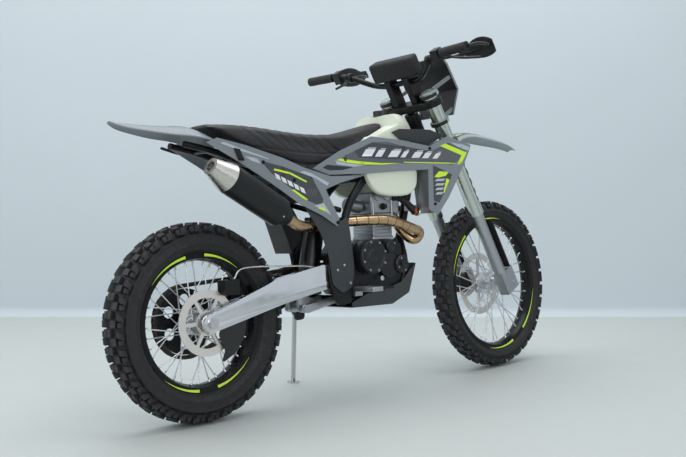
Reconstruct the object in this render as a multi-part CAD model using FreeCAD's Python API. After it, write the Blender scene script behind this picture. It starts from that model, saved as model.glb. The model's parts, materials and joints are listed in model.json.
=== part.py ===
import FreeCAD, Part
import math
import os

V = FreeCAD.Vector

# Driving dimensions, in millimetres and degrees.
# The motorcycle is drawn upright: X forward from the rear axle, Y to its left, Z up from the ground.
WHEELBASE = 1480.0
RAKE = 27.0
FORK_OFFSET = 22.0
AXLE_LEAD = 35.0
STEER_REST = 5.0
LEAN = 4.5
GAP = 0.3
RUNNING_GAP = 5.0

REAR_TYRE_RADIUS = 334.0
REAR_TYRE_WIDTH = 112.0
REAR_RIM_RADIUS = 232.0
REAR_RIM_WIDTH = 68.0
FRONT_TYRE_RADIUS = 346.0
FRONT_TYRE_WIDTH = 88.0
FRONT_RIM_RADIUS = 277.0
FRONT_RIM_WIDTH = 54.0
RIM_DEPTH = 26.0
SPOKE_RADIUS = 2.0
SPOKES = 36

REAR_HUB_HALF = 36.0
FRONT_HUB_HALF = 32.0
HUB_FLANGE_RADIUS = 44.0
HUB_BARREL_RADIUS = 27.0
AXLE_RADIUS = 10.0

DISC_THICKNESS = 4.0
REAR_DISC_RADIUS = 110.0
REAR_DISC_Y = -64.0
FRONT_DISC_RADIUS = 130.0
FRONT_DISC_Y = 60.0

CHAIN_PITCH = 15.875
REAR_TEETH = 48
DRIVE_TEETH = 13
CHAIN_Y = 69.0
CHAIN_WIDTH = 16.0
CHAIN_PLATE_HEIGHT = 15.0
SPROCKET_THICKNESS = 6.0
DRIVE_X = 628.0
DRIVE_Z = 452.0

SWINGARM_OUTER = 100.0
SWINGARM_THICKNESS = 20.0
SWINGARM_END_HEIGHT = 62.0
SWINGARM_PIVOT_X = 560.0
SWINGARM_PIVOT_Z = 452.0
PIVOT_BOLT_RADIUS = 12.0

FORK_SPACING = 210.0
FORK_UPPER_RADIUS = 29.5
FORK_LOWER_RADIUS = 24.0
FORK_TOP = 892.0
FORK_UPPER_END = 345.0
LOWER_CLAMP_W = 664.0
UPPER_CLAMP_W = 846.0
CLAMP_HEIGHT = 30.0
HEAD_TUBE_RADIUS = 28.0
STEM_RADIUS = 12.0
STEM_CLEARANCE = 1.5

BAR_WIDTH = 810.0
BAR_RADIUS = 14.0
BAR_CLAMP_W = 948.0
BAR_CLAMP_U = 12.0
BAR_END_W = 1050.0
BAR_END_U = -42.0
GRIP_LENGTH = 125.0
GRIP_RADIUS = 17.5

CAP_X = 895.0
CAP_Z = 1036.0
PANEL = 3.5
FRAME_TUBE = 15.0
SUBFRAME_TUBE = 11.0
CRADLE_TUBE = 14.0
CRADLE_HALF = 62.0
PLATE_Y = 101.0
PLATE_THICKNESS = 8.0
GUARD_THICKNESS = 4.0

FOOTPRINT_HALF = 25.0
STAND_PIVOT = (520.0, 128.0, 318.0)
STAND_FOOT = (622.0, 290.0)
STAND_LEG_RADIUS = 9.0
STAND_HEAD_RADIUS = 16.0
STAND_PIN_RADIUS = 6.0
STAND_FOLDED = (-0.96, 0.14, 0.10)

# Worked out from the driving dimensions.
AXLE_OFFSET = FORK_OFFSET + AXLE_LEAD
RAKE_SIN = math.sin(math.radians(RAKE))
RAKE_COS = math.cos(math.radians(RAKE))
HEAD_X = WHEELBASE - AXLE_OFFSET * RAKE_COS
HEAD_Z = FRONT_TYRE_RADIUS - AXLE_OFFSET * RAKE_SIN
REAR_PITCH_RADIUS = CHAIN_PITCH / (2 * math.sin(math.pi / REAR_TEETH))
DRIVE_PITCH_RADIUS = CHAIN_PITCH / (2 * math.sin(math.pi / DRIVE_TEETH))
CLAMP_TOP_W = UPPER_CLAMP_W + CLAMP_HEIGHT
FORK_HALF = FORK_SPACING / 2
AXLE_Z = REAR_TYRE_RADIUS


def steering_point(u, w):
    """World X and Z of a point in the steering frame: u ahead of the axis, w up along it."""
    return HEAD_X + u * RAKE_COS - w * RAKE_SIN, HEAD_Z + u * RAKE_SIN + w * RAKE_COS


def mirrored(shape):
    return shape.mirror(V(0, 0, 0), V(0, 1, 0))


def pair(shape):
    return Part.makeCompound([shape, mirrored(shape)])


def fuse_all(shapes):
    result = shapes[0]
    if len(shapes) > 1:
        result = result.multiFuse(shapes[1:])
    return result.removeSplitter()


def cut_all(shape, tools):
    for tool in tools:
        shape = shape.cut(tool)
    return shape


def cylinder_y(radius, y0, y1, x=0.0, z=0.0):
    return Part.makeCylinder(radius, y1 - y0, V(x, y0, z), V(0, 1, 0))


def ring_y(outer, inner, y0, y1, x=0.0, z=0.0):
    return cylinder_y(outer, y0, y1, x, z).cut(cylinder_y(inner, y0 - 1, y1 + 1, x, z))


def rod(start, end, radius):
    a = V(*start)
    b = V(*end)
    return Part.makeCylinder(radius, (b - a).Length, a, b - a)


def prism_y(outline, y0, y1):
    """Side-view outline of (x, z) points, extruded across the motorcycle."""
    points = [V(x, y0, z) for x, z in outline]
    face = Part.Face(Part.makePolygon(points + points[:1]))
    return face.extrude(V(0, y1 - y0, 0))


def block(x0, x1, y0, y1, z0, z1):
    return Part.makeBox(x1 - x0, y1 - y0, z1 - z0, V(x0, y0, z0))


def revolve_y(profile, x=0.0, z=0.0):
    """Profile of (y, radius) points turned about a cross axis."""
    points = [V(x, y, z + r) for y, r in profile]
    face = Part.Face(Part.makePolygon(points + points[:1]))
    return face.revolve(V(x, 0, z), V(0, 1, 0), 360)


def rounded_path(points, share=0.45, closed=False):
    """Straight runs joined by tangent arcs, each as large as its two runs allow."""
    pts = [V(*p) for p in points]
    count = len(pts)
    corners = range(count) if closed else range(1, count - 1)
    arcs = {}
    for i in corners:
        a = pts[i - 1] - pts[i]
        b = pts[(i + 1) % count] - pts[i]
        half_turn = (math.pi - a.getAngle(b)) / 2
        if half_turn < 1e-3:
            continue
        setback = share * min(a.Length, b.Length)
        radius = setback / math.tan(half_turn)
        bisector = (a.normalize() + b.normalize()).normalize()
        middle = pts[i] + bisector * (radius / math.cos(half_turn) - radius)
        arcs[i] = (pts[i] + a * setback, middle, pts[i] + b * setback)
    edges = []
    here = arcs[0][2] if closed else pts[0]
    order = list(range(1, count)) + [0] if closed else range(1, count)
    for i in order:
        if i in arcs:
            start, middle, end = arcs[i]
            edges.append(Part.LineSegment(here, start).toShape())
            edges.append(Part.Arc(start, middle, end).toShape())
            here = end
        elif (pts[i] - here).Length > 1e-6:
            edges.append(Part.LineSegment(here, pts[i]).toShape())
            here = pts[i]
    return Part.Wire(edges)


def tube(points, radius, share=0.45):
    """Round bar bent along straight runs and tangent arcs."""
    path = rounded_path(points, share)
    start = V(*points[0])
    ring = Part.Wire([Part.Circle(start, V(*points[1]) - start, radius).toShape()])
    return path.makePipeShell([ring], True, False)


def soft_outline(outline, y0, y1, share=0.3):
    """Side-view prism whose corners are rounded by tangent arcs."""
    wire = rounded_path([(x, y0, z) for x, z in outline], share, True)
    return Part.Face(wire).extrude(V(0, y1 - y0, 0))


def rounded_section(x, half_width, z0, z1, corner, centre=0.0):
    """Rounded rectangle across the motorcycle at station x."""
    w = half_width
    c = min(corner, 0.9 * w, 0.45 * (z1 - z0))
    k = c * (1 - math.sqrt(0.5))
    corners = [(-w, z0, 1, 1), (w, z0, -1, 1), (w, z1, -1, -1), (-w, z1, 1, -1)]
    edges = []
    spots = []
    for index, (y, z, sy, sz) in enumerate(corners):
        along = V(x, centre + y + sy * c, z)
        up = V(x, centre + y, z + sz * c)
        middle = V(x, centre + y + sy * k, z + sz * k)
        spots.append((up, middle, along) if index % 2 == 0 else (along, middle, up))
    for index, spot in enumerate(spots):
        edges.append(Part.Arc(*spot).toShape())
        edges.append(Part.LineSegment(spot[2], spots[(index + 1) % 4][0]).toShape())
    return Part.Wire(edges)


def loft(wires, ruled=False):
    return Part.makeLoft(wires, True, ruled)


def crown_section(x, z, half_width, drop, thickness):
    """Cross-section of a mudguard: an arch of sheet, highest in the middle."""
    def arch(level, half):
        return Part.Arc(V(x, -half, z - drop + level), V(x, 0, z + level), V(x, half, z - drop + level)).toShape()
    top = arch(0, half_width)
    bottom = arch(-thickness, half_width)
    left = Part.LineSegment(V(x, half_width, z - drop), V(x, half_width, z - drop - thickness)).toShape()
    right = Part.LineSegment(V(x, -half_width, z - drop - thickness), V(x, -half_width, z - drop)).toShape()
    return Part.Wire([top, left, bottom, right])


def plan_sheet(plan, thickness, z0, z1, lean_in=0.0):
    """Right-hand wall that follows a plan curve of (x, y) points, thickened inwards."""
    def outline(z, shift):
        outer = Part.BSplineCurve()
        outer.interpolate([V(x, y + shift, z) for x, y in plan])
        inner = Part.BSplineCurve()
        inner.interpolate([V(x, y + shift + thickness, z) for x, y in plan])
        outer_edge = outer.toShape()
        inner_edge = inner.toShape()
        first = Part.LineSegment(inner.StartPoint, outer.StartPoint).toShape()
        last = Part.LineSegment(outer.EndPoint, inner.EndPoint).toShape()
        return Part.Wire([first, outer_edge, last, inner_edge])
    return loft([outline(z0, 0.0), outline(z1, lean_in)], True)


def side_panel_shape(outline, plan, thickness=PANEL, lean_in=0.0):
    """Sheet cut to a side-view outline and curved along a plan curve."""
    low = min(z for x, z in outline) - 5
    high = max(z for x, z in outline) + 5
    sheet = plan_sheet(plan, thickness, low, high, lean_in)
    return sheet.common(prism_y(outline, -260, 0))


# Wheels

def rim(radius, width, x, z):
    half = width / 2
    seat = radius - 14
    inner = radius - RIM_DEPTH
    profile = [(-half, radius), (-half + 4, radius), (-half + 6, seat), (-half + 16, seat - 1),
               (-9, seat - 8), (9, seat - 8), (half - 16, seat - 1), (half - 6, seat), (half - 4, radius),
               (half, radius), (half - 1, seat - 4), (12, inner), (-12, inner), (-half + 1, seat - 4)]
    return revolve_y(profile, x, z)


def tyre(radius, width, rim_radius, rim_width, x, z):
    half = width / 2
    bead = rim_radius - 14 + GAP
    lip = rim_radius + GAP
    base = rim_width / 2
    profile = [(-base + 7, bead), (base - 7, bead), (base - 4 - GAP, rim_radius), (base + 1, lip + 1),
               (half - 6, lip + 22), (half, radius - 40), (half, radius - 20), (half - 12, radius - 6),
               (half * 0.45, radius), (-half * 0.45, radius), (-half + 12, radius - 6), (-half, radius - 20),
               (-half, radius - 40), (-half + 6, lip + 22), (-base - 1, lip + 1), (-base + 4 + GAP, rim_radius)]
    return revolve_y(profile, x, z)


def hub(half, x, z):
    barrel = HUB_BARREL_RADIUS
    flange = HUB_FLANGE_RADIUS
    bore = AXLE_RADIUS + GAP
    profile = [(-half - 8, bore), (-half - 8, barrel), (-half, barrel), (-half, flange), (-half + 6, flange),
               (-half + 12, barrel), (half - 12, barrel), (half - 6, flange), (half, flange), (half, barrel),
               (half + 8, barrel), (half + 8, bore)]
    return revolve_y(profile, x, z)


def spokes(half, rim_radius, x, z):
    """Crossed wire spokes between the hub flanges and the rim."""
    shapes = []
    reach = rim_radius - RIM_DEPTH - 3 * GAP
    root = HUB_FLANGE_RADIUS - 5
    step = 2 * math.pi / SPOKES
    for index in range(SPOKES):
        side = 1 if index % 2 else -1
        leading = 1 if (index // 2) % 2 else -1
        outer_angle = index * step
        inner_angle = outer_angle + leading * math.radians(62)
        y_root = side * (half - 3 + 2.6 * leading)
        start = (x + root * math.cos(inner_angle), y_root, z + root * math.sin(inner_angle))
        end = (x + reach * math.cos(outer_angle), side * 5.0, z + reach * math.sin(outer_angle))
        shapes.append(rod(start, end, SPOKE_RADIUS))
    return shapes


def wheel_hub(half, rim_radius, x, z):
    return fuse_all([hub(half, x, z)] + spokes(half, rim_radius, x, z))


def brake_disc(radius, y, x, z, bolts=6):
    """Wave-edged disc with drilled ring and a spider to the hub."""
    y0 = y - DISC_THICKNESS / 2
    y1 = y + DISC_THICKNESS / 2
    band = 26.0
    ring = ring_y(radius, radius - band, y0, y1, x, z)
    spider = []
    for index in range(bolts):
        angle = 2 * math.pi * index / bolts
        tip = (x + (radius - band + 5) * math.cos(angle), z + (radius - band + 5) * math.sin(angle))
        side = V(-math.sin(angle), 0, math.cos(angle)) * 7.0
        root = V(x + 34 * math.cos(angle), y0, z + 34 * math.sin(angle))
        end = V(tip[0], y0, tip[1])
        arm = Part.makePolygon([root - side, end - side * 0.8, end + side * 0.8, root + side, root - side])
        spider.append(Part.Face(arm).extrude(V(0, DISC_THICKNESS, 0)))
    centre = ring_y(42, HUB_BARREL_RADIUS + GAP, y0, y1, x, z)
    return fuse_all([ring, centre] + spider)


def rear_sprocket():
    tip = REAR_PITCH_RADIUS - CHAIN_PLATE_HEIGHT / 2 - 2.0
    y0 = CHAIN_Y - SPROCKET_THICKNESS / 2
    y1 = CHAIN_Y + SPROCKET_THICKNESS / 2
    plate = ring_y(tip, HUB_BARREL_RADIUS + GAP, y0, y1, 0, AXLE_Z)
    windows = []
    for index in range(6):
        angle = 2 * math.pi * (index + 0.5) / 6
        radius = 74.0
        windows.append(cylinder_y(20, y0 - 1, y1 + 1, radius * math.cos(angle), AXLE_Z + radius * math.sin(angle)))
    return cut_all(plate, windows)


# Chassis

def frame():
    """Head tube, two spars, single down tube and a double cradle with pivot plates."""
    top = steering_point(0, UPPER_CLAMP_W - CLAMP_HEIGHT / 2 - 10)
    low = steering_point(0, LOWER_CLAMP_W + CLAMP_HEIGHT / 2 + 10)
    head = rod((low[0], 0, low[1]), (top[0], 0, top[1]), HEAD_TUBE_RADIUS)
    stem_bore = rod((low[0] + 20, 0, low[1] - 20 * RAKE_COS / RAKE_SIN), (top[0] - 20, 0, top[1] + 20 * RAKE_COS / RAKE_SIN),
                    STEM_RADIUS + STEM_CLEARANCE)
    neck = steering_point(-24, 740)
    foot = PLATE_Y + PLATE_THICKNESS - FRAME_TUBE
    throat = steering_point(-70, 676)
    spar = tube([(1075, -16, 968), (985, -42, 905), (820, -64, 850), (715, -76, 796), (622, -86, 700),
                 (582, -foot, 600), (566, -foot, 520)], FRAME_TUBE)
    down = tube([(neck[0], 0, neck[1]), (throat[0], 0, throat[1]), (985, 0, 650), (962, 0, 575), (944, 0, 530)],
                FRAME_TUBE + 2)
    cradle = tube([(952, -8, 560), (925, -CRADLE_HALF, 470), (880, -CRADLE_HALF, 352),
                   (640, -CRADLE_HALF, 346), (560, -foot, 372)], CRADLE_TUBE)
    plate_outline = [(520, 560), (600, 560), (608, 470), (612, 380), (570, 340), (530, 345), (508, 400), (500, 480)]
    plate = soft_outline(plate_outline, -PLATE_Y - PLATE_THICKNESS, -PLATE_Y)
    bore = cylinder_y(PIVOT_BOLT_RADIUS + GAP, -150, 150, SWINGARM_PIVOT_X, SWINGARM_PIVOT_Z)
    cross = rod((600, -foot, 358), (600, foot, 358), CRADLE_TUBE)
    brace = rod((700, -74, 792), (700, 74, 792), SUBFRAME_TUBE)
    lug = soft_outline([(505, 385), (548, 360), (545, 285), (500, 283)], PLATE_Y, PLATE_Y + PLATE_THICKNESS)
    hinge = stand_hinge()
    boss_face = V(*STAND_PIVOT) - hinge * (STAND_LEG_RADIUS + 1 + GAP)
    boss = Part.makeCylinder(STAND_HEAD_RADIUS - 2, 28, boss_face, hinge * -1)
    boss = boss.common(block(400, 700, PLATE_Y, 200, 200, 500))
    pin = Part.makeCylinder(STAND_PIN_RADIUS, 30, V(*STAND_PIVOT) - hinge * 20, hinge)
    sides = [spar, cradle, plate]
    body = fuse_all([head, down, cross, brace, lug, boss, pin] + sides + [mirrored(s) for s in sides])
    return cut_all(body, [bore, stem_bore])


def subframe():
    rail = tube([(688.5, -60, 794), (560, -58, 806), (300, -56, 830), (60, -50, 905), (-40, -44, 925)], SUBFRAME_TUBE)
    stay = tube([(592, -76, 684), (420, -70, 728), (230, -58, 838)], SUBFRAME_TUBE - 1)
    cross = rod((60, -50, 905), (60, 50, 905), SUBFRAME_TUBE - 2)
    return fuse_all([rail, stay, mirrored(rail), mirrored(stay), cross])


def frame_guards():
    outline = [(478, 700), (520, 690), (560, 640), (596, 660), (606, 600), (618, 470), (600, 400), (555, 385),
               (510, 420), (500, 520), (470, 600), (400, 700), (440, 712)]
    face = -PLATE_Y - PLATE_THICKNESS - GAP
    guard = soft_outline(outline, face - GUARD_THICKNESS, face)
    return pair(guard)


def engine_cases():
    outline = [(612, 520), (606, 400), (640, 368), (845, 368), (872, 400), (892, 470), (884, 545), (850, 566),
               (700, 566), (650, 560)]
    cases = soft_outline(outline, -82, 82, 0.25)
    reach = DRIVE_PITCH_RADIUS + CHAIN_PLATE_HEIGHT / 2 + 6
    pocket_y = CHAIN_Y - CHAIN_WIDTH / 2 - 4
    pocket = cylinder_y(reach, pocket_y, 90, DRIVE_X, DRIVE_Z)
    mouth = block(560, DRIVE_X, pocket_y, 90, DRIVE_Z - reach - 14, DRIVE_Z + reach)
    return cut_all(cases, [pocket, mouth])


def engine_covers():
    round_cover = cylinder_y(64, -128, -82 - GAP, 700, 508)
    pump = cylinder_y(34, -112, -82 - GAP, 858, 470)
    bridge = cylinder_y(46, -104, -82 - GAP, 800, 470)
    filter_cap = cylinder_y(22, -116, -82 - GAP, 800, 540)
    right = fuse_all([round_cover, bridge, pump, filter_cap])
    ignition = cylinder_y(60, 82 + GAP, 122, 770, 450)
    return Part.makeCompound([right, ignition])




def cylinder_head():
    barrel = block(768, 868, -56, 56, 566 + GAP, 665)
    head = block(760, 872, -62, 62, 665, 742)
    return fuse_all([barrel, head])


def throttle_body():
    return rod((753, 0, 691), (690, 0, 704), 24)


def airbox():
    wires = [rounded_section(x, w, z0, z1, 20) for x, w, z0, z1 in
             ((345, 54, 735, 790), (400, 56, 722, 786), (470, 56, 716, 780))]
    return loft(wires, True)


def exhaust_pipe():
    front, axis, length = silencer_frame()
    end = front - axis * GAP
    lead = front - axis * 62
    path = [(872 + GAP, -24, 655), (902, -24, 655), (935, -42, 585), (975, -66, 548), (985, -94, 585),
            (900, -104, 612), (800, -108, 640), (710, -88, 642), (620, -52, 640), (500, -62, 630), tuple(lead), tuple(end)]
    return tube(path, 19)


def silencer_frame():
    """Front point and axis direction of the silencer."""
    front = V(318, -118, 664)
    rear = V(-15, -155, 845)
    return front, (rear - front).normalize(), (rear - front).Length


def silencer():
    front, axis, length = silencer_frame()
    cone = Part.makeCone(24, 48, 50, front, axis)
    body = Part.makeCylinder(52, length - 60 - 70, front + axis * 50, axis)
    return fuse_all([cone, body])


def silencer_cap():
    front, axis, length = silencer_frame()
    start = front + axis * (length - 80 + GAP)
    cone = Part.makeCone(52, 30, 80, start, axis)
    opening = Part.makeCylinder(17, 60, start + axis * 40, axis)
    return cone.cut(opening)


def skid_plate():
    outer = [(616, 326), (818, 322), (908, 358), (952, 468), (947, 469), (903, 361), (817, 326), (616, 330)]
    floor_sheet = prism_y(outer, -88, 88)
    side_outline = [(616, 326), (818, 322), (908, 358), (952, 468), (915, 440), (870, 402), (780, 380), (690, 372),
                    (616, 345)]
    side = prism_y(side_outline, -92, -88)
    return fuse_all([floor_sheet, side, mirrored(side)])


def fuel_tank():
    upper = loft([rounded_section(x, w, z0, z1, c) for x, w, z0, z1, c in
                  ((690, 100, 800, 925, 20), (780, 114, 800, 985, 36), (880, 120, 800, 1040, 50),
                   (950, 92, 830, 1030, 46), (1012, 46, 900, 985, 30))])
    lobe = loft([rounded_section(x, half, z0, 860, 10, centre) for x, half, z0, centre in
                 ((702, 10, 800, -102), (745, 14, 742, -108), (840, 22, 726, -112), (915, 22, 742, -116),
                  (942, 16, 800, -114))])
    tank = fuse_all([upper, lobe, mirrored(lobe)])
    tunnel = prism_y([(640, 640), (640, 872), (840, 905), (1000, 945), (1060, 1010), (1060, 640)], -96, 96)
    seat_room = prism_y([(640, 930), (640, 1100), (872, 1100), (862, 995), (760, 955)], -200, 200)
    neck_room = Part.makeCylinder(40, 60, V(CAP_X, 0, CAP_Z))
    return cut_all(tank, [tunnel, seat_room, seat(GAP), neck_room])


def fuel_cap():
    return Part.makeCylinder(32, 22, V(CAP_X, 0, CAP_Z + GAP), V(0, 0, 1))


def seat(grow=0.0):
    stations = ((37, 60, 972, 990), (150, 84, 930, 987), (263, 92, 890, 978), (400, 90, 856, 964),
                (520, 86, 850, 957), (620, 80, 880, 962), (740, 66, 930, 984), (856, 44, 980, 1010))
    return loft([rounded_section(x, w + grow, z0 - grow, z1 + grow, 18) for x, w, z0, z1 in stations])


def radiators():
    outline = [(998, 655), (1034, 655), (1008, 905), (972, 905)]
    core = prism_y(outline, -146, -66)
    hangers = [block(976, 1004, -67, -FRAME_TUBE - 2 - GAP, 668, 690), block(1012, 1034, -67, -30, 740, 755)]
    return pair(fuse_all([core, hangers[0]]))


SHROUD_PLAN = [(440, -95), (580, -109), (719, -127), (864, -146), (987, -162), (1078, -173), (1210, -184)]


def shrouds():
    outline = [(458, 836), (580, 898), (719, 949), (864, 933), (987, 911), (1078, 948), (1195, 914), (1183, 887),
               (1148, 829), (1068, 712), (1013, 649), (970, 671), (975, 822), (890, 821), (670, 813), (526, 812)]
    return pair(side_panel_shape(outline, SHROUD_PLAN))


def shroud_caps():
    outline = [(821, 965), (859, 978), (1005, 975), (1076, 952), (990, 915), (866, 937)]
    plan = [(800, -126), (900, -138), (1000, -150), (1100, -160)]
    return pair(side_panel_shape(outline, plan, PANEL))


SIDE_PLAN = [(-60, -112), (100, -125), (300, -129), (500, -121), (720, -106)]


def side_panels():
    outline = [(700, 808), (567, 782), (492, 760), (552, 655), (542, 626), (469, 668), (371, 710), (241, 790),
               (120, 860), (0, 925), (40, 940), (150, 915), (300, 872), (400, 836), (520, 806)]
    return pair(side_panel_shape(outline, SIDE_PLAN))


def grab_strap():
    """Short strap from the left side panel to the tail."""
    return tube([(120, 133, 900), (60, 140, 905), (-20, 128, 925)], 5)


def rear_fender():
    stations = ((120, 922, 96, 20), (37, 966, 92, 30), (0, 981, 90, 36), (-91, 987, 76, 32), (-165, 990, 58, 24), (-232, 994, 38, 16),
                (-286, 1000, 12, 3))
    return loft([crown_section(x, z, w, d, PANEL) for x, z, w, d in stations])


def inner_fender():
    outline = [(112, 877), (180, 838), (270, 766), (345, 658), (385, 540), (381, 539), (341, 656), (267, 763),
               (178, 834), (110, 873)]
    return prism_y(outline, -46, 46)


def footpegs():
    peg = block(600, 650, -225, -125, 388, 404)
    hanger = block(605, 640, -125, -PLATE_Y - PLATE_THICKNESS - GAP, 370, 404)
    return pair(fuse_all([peg, hanger]))


def foot_controls():
    """Brake pedal on the right and gear lever on the left."""
    pedal = tube([(662, -82 - GAP, 384), (662, -114, 384), (668, -122, 402), (740, -128, 394), (790, -128, 388)], 6)
    lever = tube([(700, 82 + GAP, 384), (700, 126, 384), (760, 132, 386), (850, 134, 398)], 6)
    return Part.makeCompound([pedal, lever])




def swingarm():
    half = SWINGARM_END_HEIGHT / 2
    inner = SWINGARM_OUTER - SWINGARM_THICKNESS

    def station(x, y0, y1, z0, z1):
        corners = [V(x, y0, z0), V(x, y1, z0), V(x, y1, z1), V(x, y0, z1), V(x, y0, z0)]
        return Part.makePolygon(corners)

    arm = loft([station(0, -SWINGARM_OUTER, -inner, AXLE_Z - half, AXLE_Z + half),
                station(287, -SWINGARM_OUTER, -inner, 368, 461), station(480, -98, -inner, 402, 492),
                station(590, -98, -inner, 424, 482)], True)
    tip = cylinder_y(half, -SWINGARM_OUTER, -inner, 0, AXLE_Z)
    axle_hole = cylinder_y(AXLE_RADIUS + GAP, -150, 150, 0, AXLE_Z)
    bridge = block(392, 440, -inner - 2, inner + 2, 400, 460)
    bridge_front = block(540, 578, -inner - 2, inner + 2, 430, 466)
    arms = [arm, tip, mirrored(arm), mirrored(tip)]
    pivot = cylinder_y(PIVOT_BOLT_RADIUS + GAP, -150, 150, SWINGARM_PIVOT_X, SWINGARM_PIVOT_Z)
    return fuse_all(arms + [bridge, bridge_front]).cut(axle_hole).cut(pivot)


def pivot_bolt():
    reach = PLATE_Y + PLATE_THICKNESS
    return cylinder_y(PIVOT_BOLT_RADIUS, -reach, reach, SWINGARM_PIVOT_X, SWINGARM_PIVOT_Z)


def drive_chain():
    """Chain loop round both sprockets, as one band."""
    def hull(grow):
        distance = math.hypot(DRIVE_X, DRIVE_Z - AXLE_Z)
        slope = math.atan2(DRIVE_Z - AXLE_Z, DRIVE_X)
        spread = math.acos((REAR_PITCH_RADIUS - DRIVE_PITCH_RADIUS) / distance)
        rear = REAR_PITCH_RADIUS + grow
        drive = DRIVE_PITCH_RADIUS + grow
        y = CHAIN_Y - CHAIN_WIDTH / 2

        def on(cx, cz, radius, angle):
            return V(cx + radius * math.cos(angle), y, cz + radius * math.sin(angle))

        a = on(0, AXLE_Z, rear, slope + spread)
        b = on(DRIVE_X, DRIVE_Z, drive, slope + spread)
        c = on(DRIVE_X, DRIVE_Z, drive, slope - spread)
        d = on(0, AXLE_Z, rear, slope - spread)
        front = Part.Arc(b, on(DRIVE_X, DRIVE_Z, drive, slope), c).toShape()
        back = Part.Arc(d, on(0, AXLE_Z, rear, slope + math.pi), a).toShape()
        wire = Part.Wire([Part.LineSegment(a, b).toShape(), front, Part.LineSegment(c, d).toShape(), back])
        return Part.Face(wire).extrude(V(0, CHAIN_WIDTH, 0))
    return hull(CHAIN_PLATE_HEIGHT / 2).cut(hull(-CHAIN_PLATE_HEIGHT / 2))


def drive_sprocket():
    radius = DRIVE_PITCH_RADIUS - CHAIN_PLATE_HEIGHT / 2 - 1.0
    return cylinder_y(radius, CHAIN_Y - CHAIN_WIDTH / 2 - 4 + GAP, CHAIN_Y + SPROCKET_THICKNESS, DRIVE_X, DRIVE_Z)


def rear_axle():
    rod_part = cylinder_y(AXLE_RADIUS, -SWINGARM_OUTER - 8, SWINGARM_OUTER + 8, 0, AXLE_Z)
    heads = [cylinder_y(17, -SWINGARM_OUTER - 10, -SWINGARM_OUTER - GAP, 0, AXLE_Z),
             cylinder_y(17, SWINGARM_OUTER + GAP, SWINGARM_OUTER + 10, 0, AXLE_Z)]
    return fuse_all([rod_part] + heads)


def rear_caliper():
    body = block(60, 120, -92, -48, 420, 470)
    side = DISC_THICKNESS / 2 + RUNNING_GAP
    slot = cylinder_y(REAR_DISC_RADIUS + RUNNING_GAP, REAR_DISC_Y - side, REAR_DISC_Y + side, 0, AXLE_Z)
    return body.cut(slot)


def swingarm_guards():
    """Fin under the right arm that shields the disc, and the chain guide under the left arm."""
    outline = [(30, 302), (150, 345), (140, 280), (100, 225), (40, 196), (60, 240)]
    fin = soft_outline(outline, -79, -75)
    guide = prism_y([(130, 228), (215, 257), (215, 266), (130, 237)], 58, 84)
    guide_arm = prism_y([(150, 235), (200, 252), (200, 347.5), (150, 336.2)], 80, 84)
    return Part.makeCompound([fin, fuse_all([guide, guide_arm])])


def shock():
    low = (468, 0, 352)
    top = (562, 0, 770)
    spring = rod((482, 0, 420), (536, 0, 655), 38)
    body = rod(low, top, 20)
    return fuse_all([spring, body])


def linkage():
    arm = soft_outline([(412, 330), (440, 322), (585, 350), (578, 372), (440, 352), (420, 356)], -50, -40)
    rocker = soft_outline([(412, 330), (440, 322), (490, 340), (486, 368), (430, 396), (412, 380)], -32, -22)
    pin = cylinder_y(9, -56, 56, 428, 338)
    return fuse_all([arm, rocker, mirrored(arm), mirrored(rocker), pin])


# Steering assembly, drawn in its own frame: x ahead of the steering axis, z up along it

def cylinder_w(radius, low, high, side=-1):
    """Cylinder on a fork leg's own axis."""
    return Part.makeCylinder(radius, high - low, V(FORK_OFFSET, side * FORK_HALF, low))


def triple_clamps():
    pieces = []
    for w in (LOWER_CLAMP_W, UPPER_CLAMP_W):
        low = w - CLAMP_HEIGHT / 2
        high = w + CLAMP_HEIGHT / 2
        plate = block(-26, 40, -FORK_HALF, FORK_HALF, low, high)
        ears = [Part.makeCylinder(FORK_UPPER_RADIUS + 11, CLAMP_HEIGHT, V(FORK_OFFSET, s * FORK_HALF, low))
                for s in (-1, 1)]
        bores = [Part.makeCylinder(FORK_UPPER_RADIUS + GAP, CLAMP_HEIGHT + 2, V(FORK_OFFSET, s * FORK_HALF, low - 1))
                 for s in (-1, 1)]
        pieces.append(cut_all(fuse_all([plate] + ears), bores))
    stem = Part.makeCylinder(STEM_RADIUS, UPPER_CLAMP_W - LOWER_CLAMP_W, V(0, 0, LOWER_CLAMP_W))
    return fuse_all(pieces + [stem])


def fork_upper():
    tube_length = FORK_TOP - FORK_UPPER_END
    leg = Part.makeCylinder(FORK_UPPER_RADIUS, tube_length, V(FORK_OFFSET, -FORK_HALF, FORK_UPPER_END))
    return pair(leg)


def fork_lower():
    leg = Part.makeCylinder(FORK_LOWER_RADIUS, FORK_UPPER_END - GAP - 40, V(FORK_OFFSET, -FORK_HALF, 40))
    shoe = block(FORK_OFFSET - 24, AXLE_OFFSET + 22, -FORK_HALF - 22, -FORK_HALF + 22, -26, 70)
    bore = cylinder_y(AXLE_RADIUS + GAP, -200, 200, AXLE_OFFSET, 0)
    return pair(fuse_all([leg, shoe]).cut(bore))


def fork_guards():
    guard = block(FORK_OFFSET + 34, FORK_OFFSET + 38, -FORK_HALF - 32, -FORK_HALF + 20, 74, 300)
    return pair(guard)


def bar_tube(grow=0.0):
    half = BAR_WIDTH / 2
    path = [(BAR_END_U, -half, BAR_END_W), (BAR_END_U + 10, -230, BAR_END_W - 8), (BAR_CLAMP_U, -110, BAR_CLAMP_W),
            (BAR_CLAMP_U, 110, BAR_CLAMP_W), (BAR_END_U + 10, 230, BAR_END_W - 8), (BAR_END_U, half, BAR_END_W)]
    return tube(path, 11 + grow, 0.3)


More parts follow.
